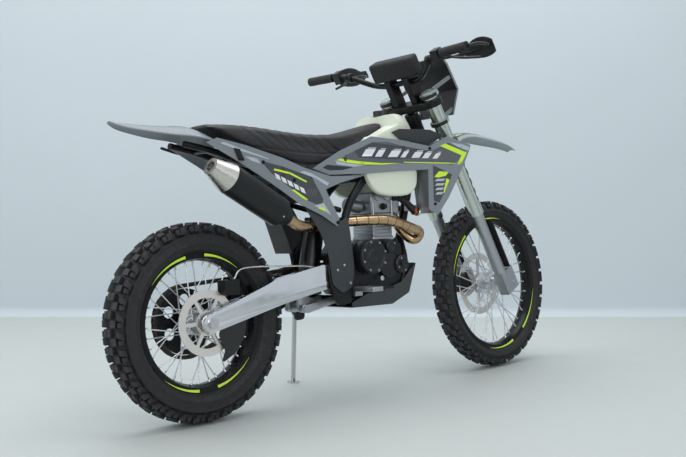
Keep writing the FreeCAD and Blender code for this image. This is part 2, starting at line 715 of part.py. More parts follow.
def handlebar():
    clamp = block(BAR_CLAMP_U - 24, BAR_CLAMP_U + 24, -62, -34, CLAMP_TOP_W - CLAMP_HEIGHT / 2 + GAP, BAR_CLAMP_W + 22)
    return fuse_all([bar_tube(), clamp, mirrored(clamp)])


def grips():
    end = V(BAR_END_U, -BAR_WIDTH / 2 - 4, BAR_END_W)
    inner = V(BAR_END_U + 10, -230, BAR_END_W - 8)
    axis = (inner - V(BAR_END_U, -BAR_WIDTH / 2, BAR_END_W)).normalize()
    grip = Part.makeCylinder(GRIP_RADIUS, GRIP_LENGTH, end, axis)
    bore = Part.makeCylinder(11 + GAP, GRIP_LENGTH + 10, end + axis * (4 - GAP), axis)
    return pair(grip.cut(bore))


def bar_pad():
    return block(-16, 44, -108, 108, BAR_CLAMP_W + 22 + GAP, 1050)


def bar_controls():
    lever = tube([(BAR_END_U + 20, -262, BAR_END_W - 12), (40, -290, 990), (52, -380, 972)], 5)
    perch = block(BAR_END_U - 8, BAR_END_U + 30, -272, -242, BAR_END_W - 34, BAR_END_W + 12)
    return pair(fuse_all([perch, lever]).cut(bar_tube(GAP)))


def hand_guards():
    """Bent bars from the bar ends to clamps inboard of the levers, each with a plastic wall."""
    half = BAR_WIDTH / 2
    end_y = -half - 6
    end_cap = Part.makeCylinder(12, 12, V(BAR_END_U, end_y - 12, BAR_END_W), V(0, 1, 0))
    spine = tube([(BAR_END_U, end_y - 6, BAR_END_W), (52, end_y - 8, 1022), (118, -half + 25, 990),
                  (124, -260, 978), (60, -205, 992), (-12, -205, 1018)], 6, 0.4)
    clamp = block(-42, -4, -215, -195, 1002, 1042)
    wall = prism_y([(112, 940), (128, 940), (126, 1035), (110, 1035)], -half - 6, -240)
    return pair(fuse_all([end_cap, spine, wall, clamp]).cut(bar_tube(GAP)))


def meter():
    case = block(60, 84, -34, 34, 900, 960)
    stalk = block(BAR_CLAMP_U + 24 + GAP, 62, -40, -30, 930, 944)
    return fuse_all([case, stalk, mirrored(stalk)])


def headlight_mask():
    outline = [(135, 740), (222, 815), (215, 930), (200, 968), (192, 966), (204, 928), (211, 818), (128, 746)]
    mask = prism_y(outline, -92, 92)
    reach = FORK_OFFSET + FORK_UPPER_RADIUS + GAP
    arms = [block(reach, 205, -FORK_HALF + 18, -FORK_HALF + 26, 870, 884),
            block(reach, 150, -FORK_HALF + 18, -FORK_HALF + 26, 752, 766)]
    hugs = [cylinder_w(FORK_UPPER_RADIUS + 9, 870, 884), cylinder_w(FORK_UPPER_RADIUS + 9, 752, 766)]
    bore = cylinder_w(FORK_UPPER_RADIUS + GAP, 740, 890)
    holder = fuse_all(arms + hugs).cut(bore)
    return fuse_all([mask, holder, mirrored(holder)])


def headlamp():
    return prism_y([(221, 838), (231, 840), (227, 903), (217.2, 903)], -50, 50)


def front_fender():
    def section(u, w, half, drop):
        def arch(level):
            return Part.Arc(V(u, -half, w - drop + level), V(u, 0, w + level), V(u, half, w - drop + level)).toShape()
        left = Part.LineSegment(V(u, half, w - drop), V(u, half, w - drop - PANEL)).toShape()
        right = Part.LineSegment(V(u, -half, w - drop - PANEL), V(u, -half, w - drop)).toShape()
        return Part.Wire([arch(0), left, arch(-PANEL), right])
    stations = ((-70, 585, 46, 26), (-20, 640, 60, 24), (60, LOWER_CLAMP_W - CLAMP_HEIGHT / 2 - GAP, 66, 24), (181, 640, 62, 22), (282, 596, 60, 26), (402, 515, 52, 26),
                (520, 402, 22, 8))
    return loft([section(*s) for s in stations])


def front_axle():
    reach = FORK_HALF + 26
    return cylinder_y(AXLE_RADIUS, -reach, reach, AXLE_OFFSET, 0)


def front_caliper():
    body = block(-62, -6, 40, 84, 30, 95)
    side = DISC_THICKNESS / 2 + RUNNING_GAP
    slot = cylinder_y(FRONT_DISC_RADIUS + RUNNING_GAP, FRONT_DISC_Y - side, FRONT_DISC_Y + side, AXLE_OFFSET, 0)
    return body.cut(slot)


# Side stand

def stand_foot():
    """Middle of the foot's underside, on the ground that the leaning wheels stand on."""
    return V(STAND_FOOT[0], STAND_FOOT[1], (STAND_FOOT[1] - FOOTPRINT_HALF) * math.tan(math.radians(LEAN)))


def stand_hinge():
    """Hinge axis square to the leg both when it is down and when it is folded."""
    leg = (stand_foot() - V(*STAND_PIVOT)).normalize()
    return leg.cross(V(*STAND_FOLDED)).normalize()


def side_stand():
    pivot = V(*STAND_PIVOT)
    foot_z = stand_foot().z
    foot = V(STAND_FOOT[0], STAND_FOOT[1], foot_z + 5)
    leg = rod(tuple(pivot), tuple(foot), STAND_LEG_RADIUS)
    pad = Part.makeCylinder(24, 5, V(STAND_FOOT[0], STAND_FOOT[1], foot_z),
                            V(0, -math.sin(math.radians(LEAN)), math.cos(math.radians(LEAN))))
    hinge = stand_hinge()
    half = STAND_LEG_RADIUS + 1
    head = Part.makeCylinder(STAND_HEAD_RADIUS, 2 * half, pivot - hinge * half, hinge)
    bore = Part.makeCylinder(STAND_PIN_RADIUS + GAP, 60, pivot - hinge * 30, hinge)
    return fuse_all([leg, pad, head]).cut(bore)


def steered(shape):
    """From the steering frame to the upright motorcycle, turned to its resting angle."""
    shape = shape.copy()
    shape.rotate(V(0, 0, 0), V(0, 0, 1), STEER_REST)
    shape.rotate(V(0, 0, 0), V(0, 1, 0), -RAKE)
    shape.translate(V(HEAD_X, 0, HEAD_Z))
    return shape


def leaned(shape):
    shape = shape.copy()
    shape.rotate(V(0, 0, 0), V(1, 0, 0), -LEAN)
    return shape


def build():
    front_x = AXLE_OFFSET
    chassis = {
        "frame": frame(), "subframe": subframe(), "frame_guards": frame_guards(), "engine_cases": engine_cases(),
        "engine_covers": engine_covers(), "cylinder_head": cylinder_head(),
        "throttle_body": throttle_body(), "airbox": airbox(), "exhaust_pipe": exhaust_pipe(),
        "silencer": silencer(), "silencer_cap": silencer_cap(), "skid_plate": skid_plate(),
        "fuel_tank": fuel_tank(), "fuel_cap": fuel_cap(), "seat": seat(), "radiators": radiators(),
        "shrouds": shrouds(), "shroud_caps": shroud_caps(), "side_panels": side_panels(),
        "rear_fender": rear_fender(), "inner_fender": inner_fender(), "footpegs": footpegs(),
        "foot_controls": foot_controls(), "grab_strap": grab_strap(), "swingarm": swingarm(),
        "pivot_bolt": pivot_bolt(), "drive_chain": drive_chain(), "drive_sprocket": drive_sprocket(),
        "rear_axle": rear_axle(), "rear_caliper": rear_caliper(), "swingarm_guards": swingarm_guards(),
        "shock": shock(), "linkage": linkage(),
        "rear_tyre": tyre(REAR_TYRE_RADIUS, REAR_TYRE_WIDTH, REAR_RIM_RADIUS, REAR_RIM_WIDTH, 0, AXLE_Z),
        "rear_rim": rim(REAR_RIM_RADIUS, REAR_RIM_WIDTH, 0, AXLE_Z),
        "rear_hub": wheel_hub(REAR_HUB_HALF, REAR_RIM_RADIUS, 0, AXLE_Z),
        "rear_disc": brake_disc(REAR_DISC_RADIUS, REAR_DISC_Y, 0, AXLE_Z),
        "rear_sprocket": rear_sprocket(),
        "side_stand": side_stand(),
    }
    steering = {
        "triple_clamps": triple_clamps(), "fork_upper": fork_upper(), "fork_lower": fork_lower(),
        "fork_guards": fork_guards(), "handlebar": handlebar(), "grips": grips(), "bar_pad": bar_pad(),
        "bar_controls": bar_controls(), "hand_guards": hand_guards(), "meter": meter(),
        "headlight_mask": headlight_mask(), "headlamp": headlamp(), "front_fender": front_fender(), "front_axle": front_axle(),
        "front_caliper": front_caliper(),
        "front_tyre": tyre(FRONT_TYRE_RADIUS, FRONT_TYRE_WIDTH, FRONT_RIM_RADIUS, FRONT_RIM_WIDTH, front_x, 0),
        "front_rim": rim(FRONT_RIM_RADIUS, FRONT_RIM_WIDTH, front_x, 0),
        "front_hub": wheel_hub(FRONT_HUB_HALF, FRONT_RIM_RADIUS, front_x, 0),
        "front_disc": brake_disc(FRONT_DISC_RADIUS, FRONT_DISC_Y, front_x, 0),
    }
    placed = {name: leaned(shape) for name, shape in chassis.items()}
    placed.update({name: leaned(steered(shape)) for name, shape in steering.items()})
    return placed


def main():
    os.makedirs("parts", exist_ok=True)
    placed = build()
    box = Part.makeCompound(list(placed.values())).optimalBoundingBox(False)
    shift = V(-box.Center.x, -box.Center.y, -box.ZMin)
    for name, shape in placed.items():
        shape.translate(shift)
        shape.exportStep("parts/" + name + ".step")
    print("shift %.3f %.3f %.3f" % tuple(shift))


main()
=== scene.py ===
import json
import math

import bmesh
import bpy
from mathutils import Matrix, Vector
from mathutils.bvhtree import BVHTree


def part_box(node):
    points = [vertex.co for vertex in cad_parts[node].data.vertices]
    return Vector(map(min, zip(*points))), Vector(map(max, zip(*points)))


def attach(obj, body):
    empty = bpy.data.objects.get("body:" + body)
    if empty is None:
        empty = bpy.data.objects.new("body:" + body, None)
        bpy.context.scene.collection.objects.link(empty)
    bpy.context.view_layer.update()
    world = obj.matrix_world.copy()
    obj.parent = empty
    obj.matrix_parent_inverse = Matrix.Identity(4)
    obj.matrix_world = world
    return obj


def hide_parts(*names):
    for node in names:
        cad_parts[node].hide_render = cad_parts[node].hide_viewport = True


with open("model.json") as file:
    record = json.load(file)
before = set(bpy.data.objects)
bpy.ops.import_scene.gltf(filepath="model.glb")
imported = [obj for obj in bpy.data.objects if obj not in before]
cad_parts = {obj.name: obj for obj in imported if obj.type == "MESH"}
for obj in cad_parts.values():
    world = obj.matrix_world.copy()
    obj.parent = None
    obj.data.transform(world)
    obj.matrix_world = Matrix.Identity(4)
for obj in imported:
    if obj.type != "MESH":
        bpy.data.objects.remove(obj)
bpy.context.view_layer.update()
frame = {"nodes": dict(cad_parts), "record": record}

NODES = frame["nodes"]
BODY = {node: body for body, nodes in frame["record"]["behaviour"]["bodies"].items() for node in nodes}

# The motorcycle upright, in metres from the ground under the rear axle. The CAD source has the same sizes.
LEAN = math.radians(4.5)
AXLE_HEIGHT = 0.334
WHEELBASE = 1.480
RAKE = math.radians(27.0)
STEER_REST = math.radians(5.0)
FRONT_AXLE = (0.057, 0.346)

# The photograph's camera, from the same point
CAMERA_SPOT = (-1.9889, -2.9942, 0.9089)
CAMERA_YAW = math.radians(48.859)
CAMERA_PITCH = math.radians(-4.185)
CAMERA_LENS = 56.89

# The studio's sheets, in metres from the camera along its heading
WALL_DISTANCE = 5.9
WALL_HEIGHT = 7.0
FLOOR_START = -12.0
FLOOR_END = 16.0
SHEET_HALF = 12.0
COVE = 0.05


def axle_shift():
    """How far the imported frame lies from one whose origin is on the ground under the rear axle."""
    low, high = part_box("rear_axle")
    middle = (low + high) / 2
    return middle - Vector((0, AXLE_HEIGHT * math.sin(LEAN), AXLE_HEIGHT * math.cos(LEAN)))


SHIFT = axle_shift()
HEAD = (WHEELBASE - FRONT_AXLE[0] * math.cos(RAKE), 0, FRONT_AXLE[1] - FRONT_AXLE[0] * math.sin(RAKE))
UPRIGHT = Matrix.Translation(SHIFT) @ Matrix.Rotation(-LEAN, 4, "X")
STEERED = (UPRIGHT @ Matrix.Translation(HEAD) @ Matrix.Rotation(-RAKE, 4, "Y")
           @ Matrix.Rotation(STEER_REST, 4, "Z"))
REAR_WHEEL = UPRIGHT @ Matrix.Translation((0, 0, AXLE_HEIGHT))
FRONT_WHEEL = STEERED @ Matrix.Translation((FRONT_AXLE[0], 0, 0))


# Colours and materials

COAT_ROUGHNESS = 0.08
BUMP_FINENESS = 12
BUMP_DEPTH = 0.0004
TREAD_FADE = 0.012


def srgb(r, g, b):
    """Linear colour of a screen colour given from 0 to 255."""
    def line(v):
        v /= 255
        return v / 12.92 if v < 0.04045 else ((v + 0.055) / 1.055) ** 2.4
    return (line(r), line(g), line(b), 1.0)


def shade(color, factor):
    return tuple(min(1.0, c * factor) for c in color[:3]) + (1.0,)


class Nodes:
    """Short way to build a material's node tree."""

    def __init__(self, name):
        self.material = bpy.data.materials.new(name)
        self.material.use_nodes = True
        self.tree = self.material.node_tree
        self.shader = self.tree.nodes["Principled BSDF"]

    def add(self, kind, **settings):
        node = self.tree.nodes.new(kind)
        for key, value in settings.items():
            setattr(node, key, value)
        return node

    def link(self, source, target):
        self.tree.links.new(source, target)

    def coordinates(self):
        if not hasattr(self, "place"):
            self.place = self.add("ShaderNodeTexCoord")
        return self.place.outputs["Object"]

    def noise(self, scale, detail=3.0, stretch=None):
        node = self.add("ShaderNodeTexNoise")
        node.inputs["Scale"].default_value = scale
        node.inputs["Detail"].default_value = detail
        if stretch:
            mapping = self.add("ShaderNodeMapping")
            mapping.inputs["Scale"].default_value = stretch
            self.link(self.coordinates(), mapping.inputs["Vector"])
            self.link(mapping.outputs["Vector"], node.inputs["Vector"])
        else:
            self.link(self.coordinates(), node.inputs["Vector"])
        return node.outputs["Fac"]

    def spread(self, value, low, high, start=0.3, end=0.7):
        node = self.add("ShaderNodeMapRange")
        node.inputs["From Min"].default_value = start
        node.inputs["From Max"].default_value = end
        node.inputs["To Min"].default_value = low
        node.inputs["To Max"].default_value = high
        self.link(value, node.inputs["Value"])
        return node.outputs["Result"]

    def mix(self, factor, first, second):
        node = self.add("ShaderNodeMix", data_type="RGBA")
        self.link(factor, node.inputs[0])
        for value, socket in ((first, node.inputs[6]), (second, node.inputs[7])):
            if isinstance(value, tuple):
                socket.default_value = value
            else:
                self.link(value, socket)
        return node.outputs[2]

    def along(self, place, direction):
        """Distance of a point from the origin of a place, in metres along a direction of it."""
        ray = place.to_3x3() @ Vector(direction).normalized()
        dot = self.add("ShaderNodeVectorMath", operation="DOT_PRODUCT")
        self.link(self.coordinates(), dot.inputs[0])
        dot.inputs[1].default_value = ray
        less = self.add("ShaderNodeMath", operation="SUBTRACT")
        self.link(dot.outputs["Value"], less.inputs[0])
        less.inputs[1].default_value = ray.dot(place.translation)
        return less.outputs[0]

    def bump(self, height, strength, distance):
        node = self.add("ShaderNodeBump")
        node.inputs["Strength"].default_value = strength
        node.inputs["Distance"].default_value = distance
        self.link(height, node.inputs["Height"])
        self.link(node.outputs["Normal"], self.shader.inputs["Normal"])


def start_surface(name, rough, metal, grain, bump, coat, wear):
    """Material whose gloss varies a little, with a fine bump if one is given."""
    nodes = Nodes(name)
    shader = nodes.shader
    shader.inputs["Metallic"].default_value = metal
    shader.inputs["Coat Weight"].default_value = coat
    shader.inputs["Coat Roughness"].default_value = COAT_ROUGHNESS
    nodes.link(nodes.spread(nodes.noise(grain, 2.0), rough - wear, rough + wear), shader.inputs["Roughness"])
    if bump:
        nodes.bump(nodes.noise(grain * BUMP_FINENESS, 2.0), bump, BUMP_DEPTH)
    return nodes


def mottled(nodes, color, vary, grain, stretch=None):
    """Colour that wanders in soft blotches by a share of itself."""
    blotches = nodes.noise(grain / 6, 4.0, stretch)
    return nodes.mix(blotches, shade(color, 1 - vary), shade(color, 1 + vary))


def surface(name, color, rough=0.5, metal=0.0, vary=0.08, grain=60.0, bump=0.0, coat=0.0, wear=0.06,
            stretch=None):
    """Finish with a little mottling of colour and gloss, and a fine texture."""
    nodes = start_surface(name, rough, metal, grain, bump, coat, wear)
    nodes.link(mottled(nodes, color, vary, grain, stretch), nodes.shader.inputs["Base Color"])
    return nodes.material


def two_tone(name, inner, outer, place, direction):
    """Plastic whose faces towards a direction of a place take the first colour, and the rest the second."""
    nodes = start_surface(name, rough=0.45, metal=0.0, grain=60.0, bump=0.15, coat=0.1, wear=0.06)
    nodes.coordinates()
    dot = nodes.add("ShaderNodeVectorMath", operation="DOT_PRODUCT")
    nodes.link(nodes.place.outputs["Normal"], dot.inputs[0])
    dot.inputs[1].default_value = place.to_3x3() @ Vector(direction)
    mask = nodes.spread(dot.outputs["Value"], 0.0, 1.0, -0.05, 0.05)
    shades = nodes.mix(mask, mottled(nodes, outer, 0.06, 60.0), mottled(nodes, inner, 0.1, 60.0))
    nodes.link(shades, nodes.shader.inputs["Base Color"])
    return nodes.material


def tyre_rubber(name, place, tread):
    """Rubber, dull and dusty on the tread blocks and darker on the sidewall."""
    nodes = start_surface(name, rough=0.7, metal=0.0, grain=90.0, bump=0.4, coat=0.0, wear=0.1)
    x = nodes.along(place, (1, 0, 0))
    z = nodes.along(place, (0, 0, 1))
    both = nodes.add("ShaderNodeCombineXYZ")
    nodes.link(x, both.inputs[0])
    nodes.link(z, both.inputs[2])
    reach = nodes.add("ShaderNodeVectorMath", operation="LENGTH")
    nodes.link(both.outputs[0], reach.inputs[0])
    mask = nodes.spread(reach.outputs["Value"], 0.0, 1.0, tread - TREAD_FADE, tread)
    shades = nodes.mix(mask, mottled(nodes, srgb(29, 30, 33), 0.25, 90.0),
                       mottled(nodes, srgb(52, 52, 54), 0.3, 200.0))
    nodes.link(shades, nodes.shader.inputs["Base Color"])
    return nodes.material


RUBBER = surface("hose_rubber", srgb(26, 26, 28), 0.55, vary=0.18, grain=90, bump=0.3)
REAR_RUBBER = tyre_rubber("rear_rubber", REAR_WHEEL, 0.322)
FRONT_RUBBER = tyre_rubber("front_rubber", FRONT_WHEEL, 0.337)
SOFT_BLACK = surface("soft_black", srgb(24, 24, 26), 0.66, vary=0.15, bump=0.4)
BLACK_PLASTIC = surface("black_plastic", srgb(25, 26, 28), 0.42, vary=0.12, bump=0.25)
TEXTURED_BLACK = surface("textured_black", srgb(44, 46, 50), 0.55, vary=0.15, grain=140, bump=0.9)
DARK_PLASTIC = surface("dark_plastic", srgb(52, 56, 60), 0.48, bump=0.25)
GREY_PLASTIC = surface("grey_plastic", srgb(128, 137, 143), 0.36, vary=0.05, bump=0.1, coat=0.2)
PALE_PLASTIC = surface("pale_plastic", srgb(150, 160, 164), 0.36, vary=0.05, bump=0.1, coat=0.2)
BLACK_METAL = surface("black_metal", srgb(20, 21, 23), 0.32, 0.4, vary=0.12, bump=0.2)
CAN_BLACK = surface("can_black", srgb(26, 27, 29), 0.36, 0.3, vary=0.1, bump=0.25)
RIM_BLACK = surface("rim_black", srgb(14, 14, 16), 0.24, 0.5, vary=0.1)
ENGINE_BLACK = surface("engine_black", srgb(30, 31, 34), 0.4, 0.5, vary=0.2, bump=0.6)
COVER_BLACK = surface("cover_black", srgb(42, 43, 47), 0.36, 0.5, vary=0.12, bump=0.35)
ALLOY = surface("alloy", srgb(214, 217, 221), 0.2, 1.0, vary=0.04, grain=26, wear=0.08)
CAST_ALLOY = surface("cast_alloy", srgb(172, 175, 179), 0.4, 1.0, vary=0.1, bump=0.5)
STEEL = surface("steel", srgb(205, 205, 205), 0.2, 1.0, vary=0.05)
BRUSHED = surface("brushed_steel", srgb(208, 205, 198), 0.28, 1.0, vary=0.12, grain=60, stretch=(1, 8, 8))
DISC_STEEL = surface("disc_steel", srgb(226, 222, 216), 0.34, 0.9, vary=0.06, grain=120)
SPOKE_STEEL = surface("spoke_steel", srgb(216, 219, 222), 0.3, 0.85, vary=0.06)
CHAIN_METAL = surface("chain_metal", srgb(70, 66, 62), 0.38, 0.9, vary=0.3, grain=300)
TANK_WHITE = surface("tank_white", srgb(228, 236, 218), 0.36, vary=0.03, coat=0.1)
BRONZE = surface("header_bronze", srgb(190, 160, 124), 0.26, 1.0, vary=0.2, grain=60, wear=0.08)
WELD = surface("weld_tint", srgb(112, 84, 66), 0.36, 1.0, vary=0.25, grain=300, bump=0.5)
FORK_SILVER = surface("fork_tube", srgb(198, 206, 198), 0.22, 1.0, vary=0.05)
RADIATOR = surface("radiator", srgb(172, 174, 178), 0.38, 0.9, vary=0.1)
LENS = surface("lamp_lens", srgb(225, 230, 235), 0.1, vary=0.02, coat=0.6)
LEATHER = surface("seat_leather", srgb(33, 34, 37), 0.56, vary=0.12, grain=120, bump=0.7)
STRAP = surface("strap_web", srgb(20, 20, 23), 0.8, vary=0.2, grain=200, bump=0.6)
NEON = surface("neon_film", srgb(214, 252, 60), 0.36, vary=0.03, coat=0.3)
WHITE_FILM = surface("white_film", srgb(236, 239, 243), 0.36, vary=0.02, coat=0.3)
PALE_FILM = surface("pale_film", srgb(186, 195, 206), 0.36, vary=0.04, coat=0.3)
GREY_FILM = surface("grey_film", srgb(88, 92, 98), 0.36, vary=0.06, coat=0.3)
DARK_FILM = surface("dark_film", srgb(60, 62, 67), 0.36, vary=0.08, coat=0.3)
BLACK_FILM = surface("black_film", srgb(24, 25, 27), 0.34, vary=0.08, coat=0.3)
RED_FILM = surface("red_film", srgb(176, 34, 30), 0.5, vary=0.08, bump=0.3)
BLUE_PLASTIC = surface("blue_plastic", srgb(36, 70, 170), 0.36, vary=0.08)
COPPER = surface("copper_joint", srgb(178, 92, 58), 0.34, 0.9, vary=0.12)
MASK_SKIN = two_tone("mask_skin", srgb(20, 20, 22), srgb(160, 168, 172), STEERED, (-1, 0, 0))

FINISHES = {
    REAR_RUBBER: ("rear_tyre",),
    FRONT_RUBBER: ("front_tyre",),
    SOFT_BLACK: ("grips", "bar_pad"),
    BLACK_PLASTIC: ("airbox", "hand_guards", "inner_fender", "meter", "fork_guards", "bar_controls",
                    "swingarm_guards", "fuel_cap"),
    TEXTURED_BLACK: ("shroud_caps",),
    MASK_SKIN: ("headlight_mask",),
    DARK_PLASTIC: ("frame_guards", "skid_plate"),
    GREY_PLASTIC: ("side_panels", "shrouds", "rear_fender"),
    PALE_PLASTIC: ("front_fender",),
    BLACK_METAL: ("frame", "subframe", "rear_sprocket", "shock", "triple_clamps", "handlebar",
                  "foot_controls", "drive_sprocket", "rear_caliper", "front_caliper"),
    RIM_BLACK: ("rear_rim", "front_rim"),
    CAN_BLACK: ("silencer",),
    ENGINE_BLACK: ("engine_cases",),
    COVER_BLACK: ("engine_covers",),
    ALLOY: ("swingarm", "pivot_bolt"),
    BRUSHED: ("silencer_cap",),
    CAST_ALLOY: ("cylinder_head", "throttle_body", "linkage", "fork_lower", "footpegs"),
    SPOKE_STEEL: ("rear_hub", "front_hub"),
    DISC_STEEL: ("rear_disc", "front_disc"),
    STEEL: ("side_stand", "rear_axle", "front_axle"),
    CHAIN_METAL: ("drive_chain",),
    TANK_WHITE: ("fuel_tank",),
    BRONZE: ("exhaust_pipe",),
    FORK_SILVER: ("fork_upper",),
    RADIATOR: ("radiators",),
    LENS: ("headlamp",),
    LEATHER: ("seat",),
    STRAP: ("grab_strap",),
}

FINISH_OF = {}
for material, names in FINISHES.items():
    for name in names:
        FINISH_OF[name] = material
        for spot in NODES[name].material_slots:
            spot.material = material


# Pieces laid on the nodes

SKINS = {}
RAY_TOP, RAY_FRONT, RAY_SIDE = 1.4, 1.2, 0.6
SIDE_NAMES = {-1: "right", 1: "left"}


def skin(node):
    """Tree of a node's faces, for finding its surface."""
    if node not in SKINS:
        mesh = NODES[node].data
        points = [v.co for v in mesh.vertices]
        SKINS[node] = BVHTree.FromPolygons(points, [p.vertices for p in mesh.polygons])
    return SKINS[node]


def touch(node, place, start, ray):
    """Where a ray given in a place's coordinates meets a node, and the surface's outward direction there."""
    heading = place.to_3x3() @ Vector(ray).normalized()
    spot, normal, _, _ = skin(node).ray_cast(place @ Vector(start), heading)
    if spot is None:
        return None
    return spot, (normal if normal.dot(heading) < 0 else -normal)


def view_ray(view, a, b):
    """Start and direction of the ray through a point of a side, front or top view."""
    if view == "top":
        return (a, b, RAY_TOP), (0, 0, -1)
    if view == "front":
        return (RAY_FRONT, a, b), (-1, 0, 0)
    side = -1 if view == "right" else 1
    return (a, side * RAY_SIDE, b), (0, -side, 0)


def new_object(name, data):
    piece = bpy.data.objects.new(name, data)
    bpy.context.scene.collection.objects.link(piece)
    return piece


def add_object(name, mesh, material, body, smooth=True, sharp=None):
    """Piece made of a bmesh, shaded smooth, with edges over an angle in degrees left sharp."""
    data = bpy.data.meshes.new(name)
    mesh.to_mesh(data)
    mesh.free()
    piece = new_object(name, data)
    data.materials.append(material)
    if smooth:
        data.shade_smooth()
    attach(piece, body)
    if sharp:
        data.set_sharp_from_angle(angle=math.radians(sharp))
    return piece


def cut_grid(mesh, size):
    """Cuts a flat sheet along a square grid, so that it can follow a curved surface."""
    for axis in (0, 2):
        values = [v.co[axis] for v in mesh.verts]
        spot = math.ceil(min(values) / size) * size
        while spot < max(values):
            point, normal = Vector((0, 0, 0)), Vector((0, 0, 0))
            point[axis] = spot
            normal[axis] = 1
            everything = mesh.verts[:] + mesh.edges[:] + mesh.faces[:]
            bmesh.ops.bisect_plane(mesh, geom=everything, plane_co=point, plane_no=normal)
            spot += size


def film(name, node, outline, material, view="right", place=UPRIGHT, lift=0.5, size=0.012, thick=0.0):
    """Thin film on a node's surface, with an outline in millimetres of a side, top or front view."""
    mesh = bmesh.new()
    mesh.faces.new([mesh.verts.new((a / 1000, 0, b / 1000)) for a, b in outline])
    bmesh.ops.triangulate(mesh, faces=mesh.faces[:])
    cut_grid(mesh, size)
    lost = []
    for vertex in mesh.verts:
        hit = touch(node, place, *view_ray(view, vertex.co.x, vertex.co.z))
        if hit is None:
            lost.append(vertex)
        else:
            vertex.co = hit[0] + hit[1] * (lift / 1000)
    bmesh.ops.delete(mesh, geom=lost, context="VERTS")
    bmesh.ops.triangulate(mesh, faces=mesh.faces[:])
    if thick:
        bmesh.ops.solidify(mesh, geom=mesh.faces[:], thickness=thick / 1000)
    return add_object(name, mesh, material, BODY[node])


def both_sides(name, node, outline, material, **options):
    for view in ("right", "left"):
        film(name + "_" + view, node, outline, material, view=view, **options)


def films(node, rows):
    """Films on both sides of a node, from rows of name, material, lift and outline in millimetres."""
    for name, material, lift, outline in rows:
        both_sides(name, node, outline, material, lift=lift)


def ring_of(mesh, place, centre, axis, radius, count):
    """Vertices of a circle round an axis, in world coordinates."""
    axis = Vector(axis).normalized()
    across = axis.orthogonal().normalized()
    other = axis.cross(across)
    spots = []
    for index in range(count):
        angle = 2 * math.pi * index / count
        out = across * (radius * math.cos(angle)) + other * (radius * math.sin(angle))
        spots.append(mesh.verts.new(place @ (Vector(centre) + out)))
    return spots


def skin_rings(mesh, rings, close_start=False, close_end=True):
    """Faces between neighbouring rings of vertices, and over the first and last ring where asked."""
    for first, second in zip(rings, rings[1:]):
        count = len(first)
        for i in range(count):
            mesh.faces.new((first[i], first[(i + 1) % count], second[(i + 1) % count], second[i]))
    if close_end:
        mesh.faces.new(rings[-1])
    if close_start:
        mesh.faces.new(rings[0][::-1])


def turned(mesh, place, base, axis, profile, count=12, close_start=False):
    """Turned form whose profile gives heights along an axis from a base, and radii."""
    axis = Vector(axis).normalized()
    rings = [ring_of(mesh, place, Vector(base) + axis * height, axis, radius, count)
             for height, radius in profile]
    skin_rings(mesh, rings, close_start=close_start)


IDENTITY = Matrix.Identity(4)


def screw(mesh, spot, normal, radius, height):
    """Cap screw with a sunk socket, seated on a surface point."""
    top = height + 0.001
    turned(mesh, IDENTITY, spot - normal * 0.001, normal,
           [(0, radius), (height * 0.8, radius), (top, radius * 0.84), (top, radius * 0.5),
            (height * 0.45, radius * 0.46)])


def screws(name, node, spots, material=STEEL, view="right", place=UPRIGHT, radius=5.0, height=4.0,
           mirror=False):
    """Screws where rays through points of a view meet a node, all sizes in millimetres."""
    mesh = bmesh.new()
    for side in ("right", "left") if mirror else (view,):
        for a, b in spots:
            hit = touch(node, place, *view_ray(side, a / 1000, b / 1000))
            if hit is not None:
                screw(mesh, *hit, radius / 1000, height / 1000)
    add_object(name, mesh, material, BODY[node], smooth=False)


def circle_spots(x, z, radius, count, turn):
    """Points spread on a circle of a side view, the first turned by an angle."""
    return [(x + radius * math.cos(turn + 2 * math.pi * i / count),
             z + radius * math.sin(turn + 2 * math.pi * i / count)) for i in range(count)]


# Coloured films on the bodywork

def slanted(x, z, width, height, lean, rise=0.0):
    """Slanted bar for a row of stripes."""
    return [(x, z), (x + width, z + rise), (x + width + lean, z + height + rise), (x + lean, z + height)]


